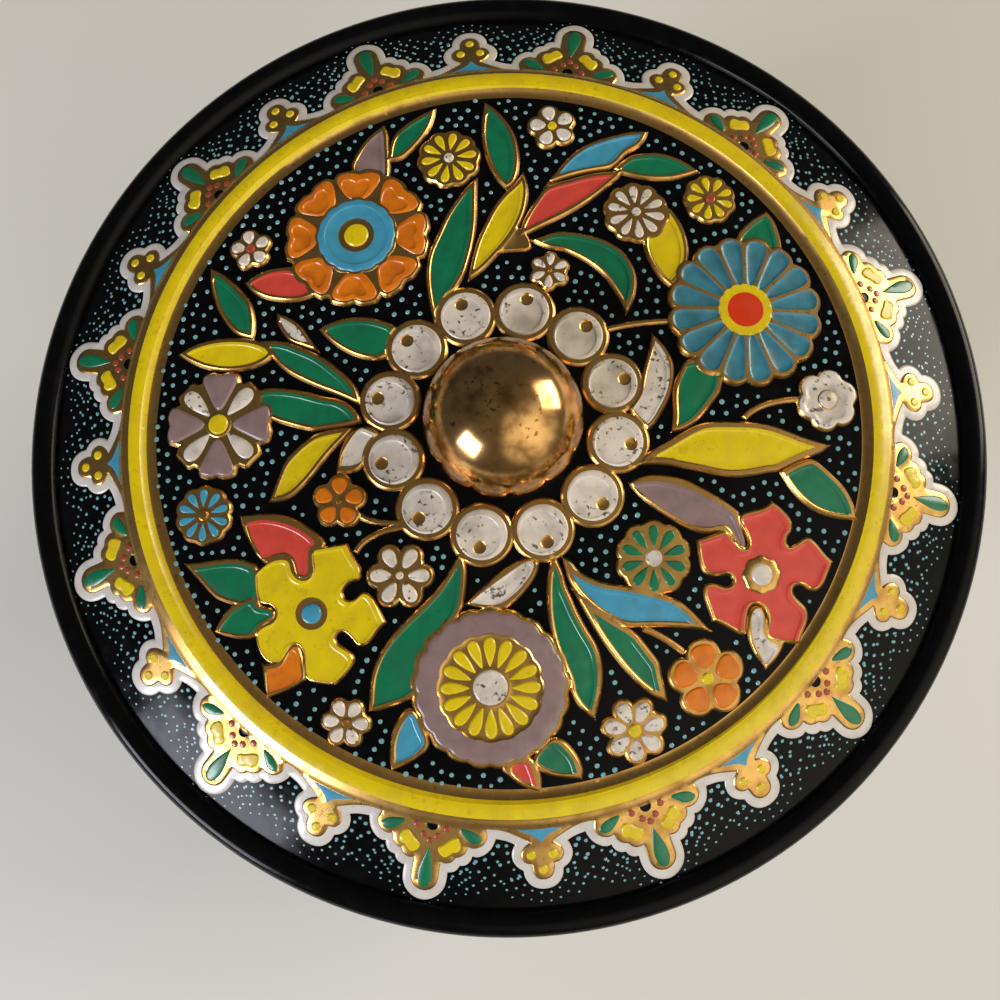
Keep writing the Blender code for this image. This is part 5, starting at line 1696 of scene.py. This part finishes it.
@dataclass
class Stipple:
    """The aqua dots painted on the black ground of the lid. Sizes are in millimetres.

    The border's dots shrink outwards, from one radius and size to another. Its outer rows are shorter.
    """

    # Step that the dome's slope is measured over
    NUDGE = 0.01

    lid: Lid
    field_dot: float = 0.30
    field_gap: float = 1.28
    field_cell: float = 0.36
    knob_room: float = 10.6
    border_dot: float = 0.235
    row_gaps: tuple[float, ...] = (0.55, 1.65, 2.75, 3.9)
    row_step: float = 1.2
    last_radius: float = 58.9
    full_rows: int = 2
    full_reach: float = 1.9
    row_shortening: float = 0.25
    fade_from: Pair = (51.0, 1.15)
    fade_to: Pair = (59.5, 0.55)
    drop_height: float = 0.07
    clear: float = 0.55
    seed: int = 7

    @staticmethod
    def _host(points: Array, edges: list, faces: list, marks: dict[str, Array]) -> Item:
        """Make the lines or the surface that dots are put on.

        Args:
            points: Its points in millimetres.
            edges: Its edges.
            faces: Its faces.
            marks: Numbers or vectors at its points, by name.

        Returns:
            The object.
        """
        mesh = bpy.data.meshes.new("stipple host")
        mesh.from_pydata([tuple(point) for point in points * MM], edges, faces)
        for name, values in marks.items():
            kind, key = ("FLOAT_VECTOR", "vector") if values.ndim > 1 else ("FLOAT", "value")
            mesh.attributes.new(name, kind, "POINT").data.foreach_set(key, values.ravel())
        return place("stipple host", mesh)

    def _field_host(self) -> Item:
        """Make the surface inside the yellow band that the dots are strewn over.

        Returns:
            The object, with its free room as an attribute.
        """
        lid = self.lid
        far = lid.field_radius - Ornament.BAND_EDGE - self.clear
        steps = np.arange(-far, far, self.field_cell)
        count = len(steps)
        across, up = np.meshgrid(steps, steps)
        plan = np.stack([across.ravel(), up.ravel()], axis=1)
        radius = np.linalg.norm(plan, axis=1)
        room = np.where((radius < far) & (radius >= self.knob_room), 1.0, 0.0)
        for patch in lid.patches:
            if patch.finish is Finish.GOLD and patch.outline[:, 0].max() + self.clear <= lid.field_radius:
                near = patch.inside(plan, self.clear)
                room[near[patch.depth(plan[near]) > -self.clear]] = 0.0
        free = room.reshape(count, count) > 0.5
        whole = free[:-1, :-1] & free[:-1, 1:] & free[1:, 1:] & free[1:, :-1]
        firsts = [int(row) * count + int(column) for row, column in np.argwhere(whole)]
        faces = [(first, first + 1, first + count + 1, first + count) for first in firsts]
        points = np.column_stack([plan, lid.dome(radius)])
        return self._host(points, [], faces, {"room": room, "dot_size": np.ones(len(points))})

    def _border_host(self) -> Item:
        """Make the lines that the border's dots follow, at even distances from the white outline.

        Returns:
            The object, with the ground's direction and the dots' size as attributes.
        """
        white = self.lid.patches[0]
        points: list[Array] = []
        edges: list[tuple[int, int]] = []
        for row, gap in enumerate(self.row_gaps):
            line = Plan.inset(white.outline, -gap, white.depth)
            reach = self.full_reach if row < self.full_rows else 0.0
            last = self.last_radius + reach - self.row_shortening * row
            chain = line[np.linalg.norm(line, axis=1) < last]
            first = sum(len(part) for part in points)
            near = np.linalg.norm(chain[1:] - chain[:-1], axis=1) < self.row_step
            edges += [(first + int(spot), first + int(spot) + 1) for spot in np.nonzero(near)[0]]
            points.append(chain)
        plan = np.concatenate(points)
        radius = np.linalg.norm(plan, axis=1)
        height = self.lid.dome(radius)
        slope = (self.lid.dome(radius + self.NUDGE) - height) / self.NUDGE
        up = np.column_stack([-plan[:, 0] / radius * slope, -plan[:, 1] / radius * slope, np.ones(len(plan))])
        size = np.interp(radius, *zip(self.fade_from, self.fade_to))
        marks = {"up": Plan.unit(up), "dot_size": size}
        return self._host(np.column_stack([plan, height]), edges, [], marks)

    def build(self, paint: Material) -> list[Item]:
        """Make the dots.

        Args:
            paint: Their material.

        Returns:
            The dots of the field and of the border.
        """
        common = {"Drop Height": self.drop_height * MM, "Paint": paint}
        strewn = {"Dot Radius": self.field_dot * MM, "Gap": self.field_gap * MM, "Seed": self.seed}
        rowed = {"Dot Radius": self.border_dot * MM, "Step": self.row_step * MM}
        return [
            DotTree.grow("lid_stipple_field", self._field_host(), DotTree.strewn(), common | strewn),
            DotTree.grow("lid_stipple_border", self._border_host(), DotTree.rowed(), common | rowed),
        ]


@dataclass
class Wall:
    """The canister's wall: a tube with a stop bead and a curled top edge. Sizes are in millimetres."""

    radius: float = 61.9
    height: float = 120.0
    sheet: float = 0.3
    foot: float = 0.6
    bead_z: float = 109.5
    bead_height: float = 3.0
    bead_proud: float = 1.0
    bead_steps: int = 12
    curl: float = 1.2
    curl_end: float = 230.0
    curl_steps: int = 14
    sides: int = 240

    def build(self, materials: list[Material]) -> Item:
        """Make the wall.

        Args:
            materials: One material for each finish, in order.

        Returns:
            The object.
        """
        inner = self.radius - self.sheet
        half = self.bead_height / 2
        outside = [(self.radius, self.foot), (self.radius, self.bead_z - half)]
        inside = [(inner, self.bead_z + half)]
        for share in np.linspace(0.0, 1.0, self.bead_steps + 1)[1:-1]:
            bulge = self.bead_proud * math.sin(math.pi * share) ** 1.5
            outside.append((self.radius + bulge, self.bead_z - half + share * self.bead_height))
            inside.append((inner + bulge, self.bead_z + half - share * self.bead_height))
        outside.append((self.radius, self.bead_z + half))
        inside += [(inner, self.bead_z - half), (inner, self.foot)]
        curl = Turned.arc((self.radius - self.curl / 2, self.height - self.curl / 2), self.curl / 2,
                          0.0, self.curl_end, self.curl_steps)
        profile = outside + curl + inside
        points, faces = Turned.spin(profile, self.sides, True)
        slots = [Finish.ENAMEL.slot] * ((len(outside) - 1) * self.sides)
        slots += [Finish.TIN.slot] * (len(faces) - len(slots))
        return Turned.build("body_wall_dressed", points, faces, slots, materials)


@dataclass
class Base:
    """The recessed base whose rim folds round the foot of the wall. Sizes are in millimetres."""

    seam_outer: float = 62.5
    seam_inner: float = 61.0
    seam_height: float = 3.0
    recess: float = 2.4
    step_radius: float = 52.0
    step_rise: float = 0.8
    step_width: float = 2.0
    sheet: float = 0.3
    edge: float = 0.12
    sides: int = 240

    def build(self, materials: list[Material]) -> Item:
        """Make the base.

        Args:
            materials: One material for each finish, in order.

        Returns:
            The object.
        """
        edge = self.edge
        top = self.recess + self.sheet
        step = self.step_radius + self.step_width
        profile = [
            (0.0, self.recess + self.step_rise),
            (self.step_radius, self.recess + self.step_rise),
            (step, self.recess),
            (self.seam_inner, self.recess),
            (self.seam_inner, edge),
            (self.seam_inner + edge, 0.0),
            (self.seam_outer - 3 * edge, 0.0),
            (self.seam_outer - edge, edge / 2),
            (self.seam_outer, 3 * edge),
            (self.seam_outer, self.seam_height - edge),
            (self.seam_outer - edge, self.seam_height),
            (self.seam_outer - self.sheet, self.seam_height),
            (self.seam_outer - self.sheet, self.sheet),
            (self.seam_inner + self.sheet, self.sheet),
            (self.seam_inner + self.sheet, top),
            (step, top),
            (self.step_radius, top + self.step_rise),
            (0.0, top + self.step_rise),
        ]
        points, faces = Turned.spin(profile, self.sides, False)
        return Turned.build("base_dressed", points, faces, [Finish.TIN.slot] * len(faces), materials)


@dataclass
class Knob:
    """The polished brass knob, a ball cut off just below its middle. Sizes are in millimetres."""

    radius: float = 9.9
    seat_z: float = 129.85
    centre_z: float = 131.25
    sides: int = 160
    steps: int = 44

    def build(self, brass: Material) -> Item:
        """Make the knob.

        Args:
            brass: Its material.

        Returns:
            The object.
        """
        drop = self.centre_z - self.seat_z
        foot = math.sqrt(self.radius ** 2 - drop ** 2)
        low = -math.degrees(math.atan2(drop, foot))
        profile = [(0.0, self.seat_z)] + Turned.arc((0.0, self.centre_z), self.radius, low, 90.0,
                                                        self.steps)
        profile[-1] = (0.0, self.centre_z + self.radius)
        points, faces = Turned.spin(profile, self.sides, False)
        return Turned.build("knob_dressed", points, faces, [0] * len(faces), [brass])


@dataclass(frozen=True)
class Lamp:
    """A soft rectangular studio light that points at the canister.

    Attributes:
        bearing: Direction from the canister in degrees, 0 along +X.
        rise: Height above the horizon in degrees.
        distance: Distance in metres.
        width: Width in metres.
        height: Height in metres.
        power: Power in watts.
        colour: Its colour.
    """

    bearing: float
    rise: float
    distance: float
    width: float
    height: float
    power: float
    colour: Colour

    # Height in metres that the lights point at
    AIM = 0.12

    def build(self, name: str) -> Item:
        """Add the light.

        Args:
            name: Its name.

        Returns:
            The light's object.
        """
        turn, lift = math.radians(self.bearing), math.radians(self.rise)
        way = Vector((math.cos(turn) * math.cos(lift), math.sin(turn) * math.cos(lift), math.sin(lift)))
        data = bpy.data.lights.new(name, "AREA")
        data.shape = "RECTANGLE"
        data.size, data.size_y = self.width, self.height
        data.energy = self.power
        data.color = self.colour.linear()[:3]
        item = place(name, data)
        item.location = Vector((0.0, 0.0, self.AIM)) + way * self.distance
        item.rotation_mode = "QUATERNION"
        item.rotation_quaternion = way.to_track_quat("Z", "Y")
        return item


@dataclass
class Studio:
    """Floor, lights and camera."""

    FLOOR = Colour(200, 199, 194)
    COOL = Colour(240, 243, 255)
    WARM = Colour(255, 244, 226)

    lens: float = 33.2
    elevation: float = 81.8
    azimuth: float = -7.9
    distance: float = 0.1221
    target: tuple[float, float, float] = (-0.0006, -0.00874, 0.1214)
    floor_half: float = 1.5
    bright_side: tuple[float, float, float] = (0.62, -0.50, 0.60)
    # Facing of the surroundings against the bright side, and their colour there
    sky_stops: tuple[tuple[float, tuple[float, ...]], ...] = (
        (0.0, (0.065, 0.065, 0.065, 1.0)),
        (0.68, (0.12, 0.106, 0.088, 1.0)),
        (0.97, (1.0, 0.94, 0.78, 1.0)),
    )
    sky_strength: float = 1.6

    def floor(self) -> Item:
        """Add the plain pale floor.

        Returns:
            The floor.
        """
        half = self.floor_half
        corners = [(-half, -half, 0.0), (half, -half, 0.0), (half, half, 0.0), (-half, half, 0.0)]
        mesh = bpy.data.meshes.new("floor")
        mesh.from_pydata(corners, [], [(0, 1, 2, 3)])
        material = bpy.data.materials.new("pale floor")
        material.use_nodes = True
        surface = material.node_tree.nodes["Principled BSDF"]
        NodeKit.fill(surface, Base_Color=self.FLOOR.linear(), Roughness=0.6)
        mesh.materials.append(material)
        item = place("floor", mesh)
        return item

    def sky(self) -> None:
        """Set the soft surroundings, brightest and warm towards the lower right."""
        world = bpy.data.worlds.new("studio")
        world.use_nodes = True
        tree = world.node_tree
        tree.nodes.clear()
        way = NodeKit.add(tree, "ShaderNodeTexCoord")
        facing = NodeKit.add(tree, "ShaderNodeVectorMath", operation="DOT_PRODUCT")
        tree.links.new(way.outputs["Generated"], facing.inputs[0])
        facing.inputs[1].default_value = self.bright_side
        ramp = NodeKit.add(tree, "ShaderNodeValToRGB")
        tree.links.new(facing.outputs["Value"], ramp.inputs["Fac"])
        stops = ramp.color_ramp.elements
        stops.new(self.sky_stops[1][0])
        for stop, (position, colour) in zip(stops, self.sky_stops):
            stop.position, stop.color = position, colour
        back = NodeKit.add(tree, "ShaderNodeBackground")
        back.inputs["Strength"].default_value = self.sky_strength
        tree.links.new(ramp.outputs["Color"], back.inputs["Color"])
        end = NodeKit.add(tree, "ShaderNodeOutputWorld")
        tree.links.new(back.outputs["Background"], end.inputs["Surface"])
        bpy.context.scene.world = world

    def lamps(self) -> None:
        """Add the studio lights."""
        lamps = (
            ("window left", Lamp(222.0, 21.0, 0.95, 0.42, 0.38, 9.5, self.COOL)),
            ("window right", Lamp(24.0, 20.0, 0.95, 0.50, 0.50, 8.0, self.WARM)),
        )
        for name, lamp in lamps:
            lamp.build(name)

    def camera(self) -> Item:
        """Add the camera at the photograph's viewing angle.

        Returns:
            The camera.
        """
        turn, lift = math.radians(self.azimuth), math.radians(self.elevation)
        forward = Vector((math.sin(turn) * math.cos(lift), math.cos(turn) * math.cos(lift), -math.sin(lift)))
        right = forward.cross(Vector((0.0, 1.0, 0.0))).normalized()
        up = right.cross(forward).normalized()
        data = bpy.data.cameras.new("camera")
        data.sensor_width = 36.0
        data.lens = self.lens
        data.clip_start = 0.01
        data.clip_end = 20.0
        item = place("camera", data)
        axes = Matrix((right, up, -forward)).transposed().to_4x4()
        item.matrix_world = Matrix.Translation(Vector(self.target) - forward * self.distance) @ axes
        bpy.context.scene.camera = item
        return item

    def build(self) -> None:
        """Add everything round the canister."""
        self.floor()
        self.sky()
        self.lamps()
        self.camera()
        bpy.context.scene.view_settings.view_transform = "Standard"


def main() -> None:
    """Build and dress the canister, then the studio."""
    logging.basicConfig(level=logging.INFO, format="%(name)s: %(message)s")
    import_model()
    materials = [PAINTS[finish].build() for finish in Finish]
    lid = Lid()
    lid_item = lid.build(materials)
    wall_item = Wall().build(materials)
    base_item = Base().build(materials)
    knob_item = Knob().build(BRASS_PAINT.build())
    dots = Stipple(lid).build(STIPPLE_PAINT.build())
    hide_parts("lid")
    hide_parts("body_wall")
    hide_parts("base")
    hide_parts("knob")
    for item in (lid_item, wall_item, base_item, knob_item, *dots):
        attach(item, "root")
    for item in (lid_item, wall_item, *dots):
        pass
    Studio().build()


if __name__ == "__main__":
    main()
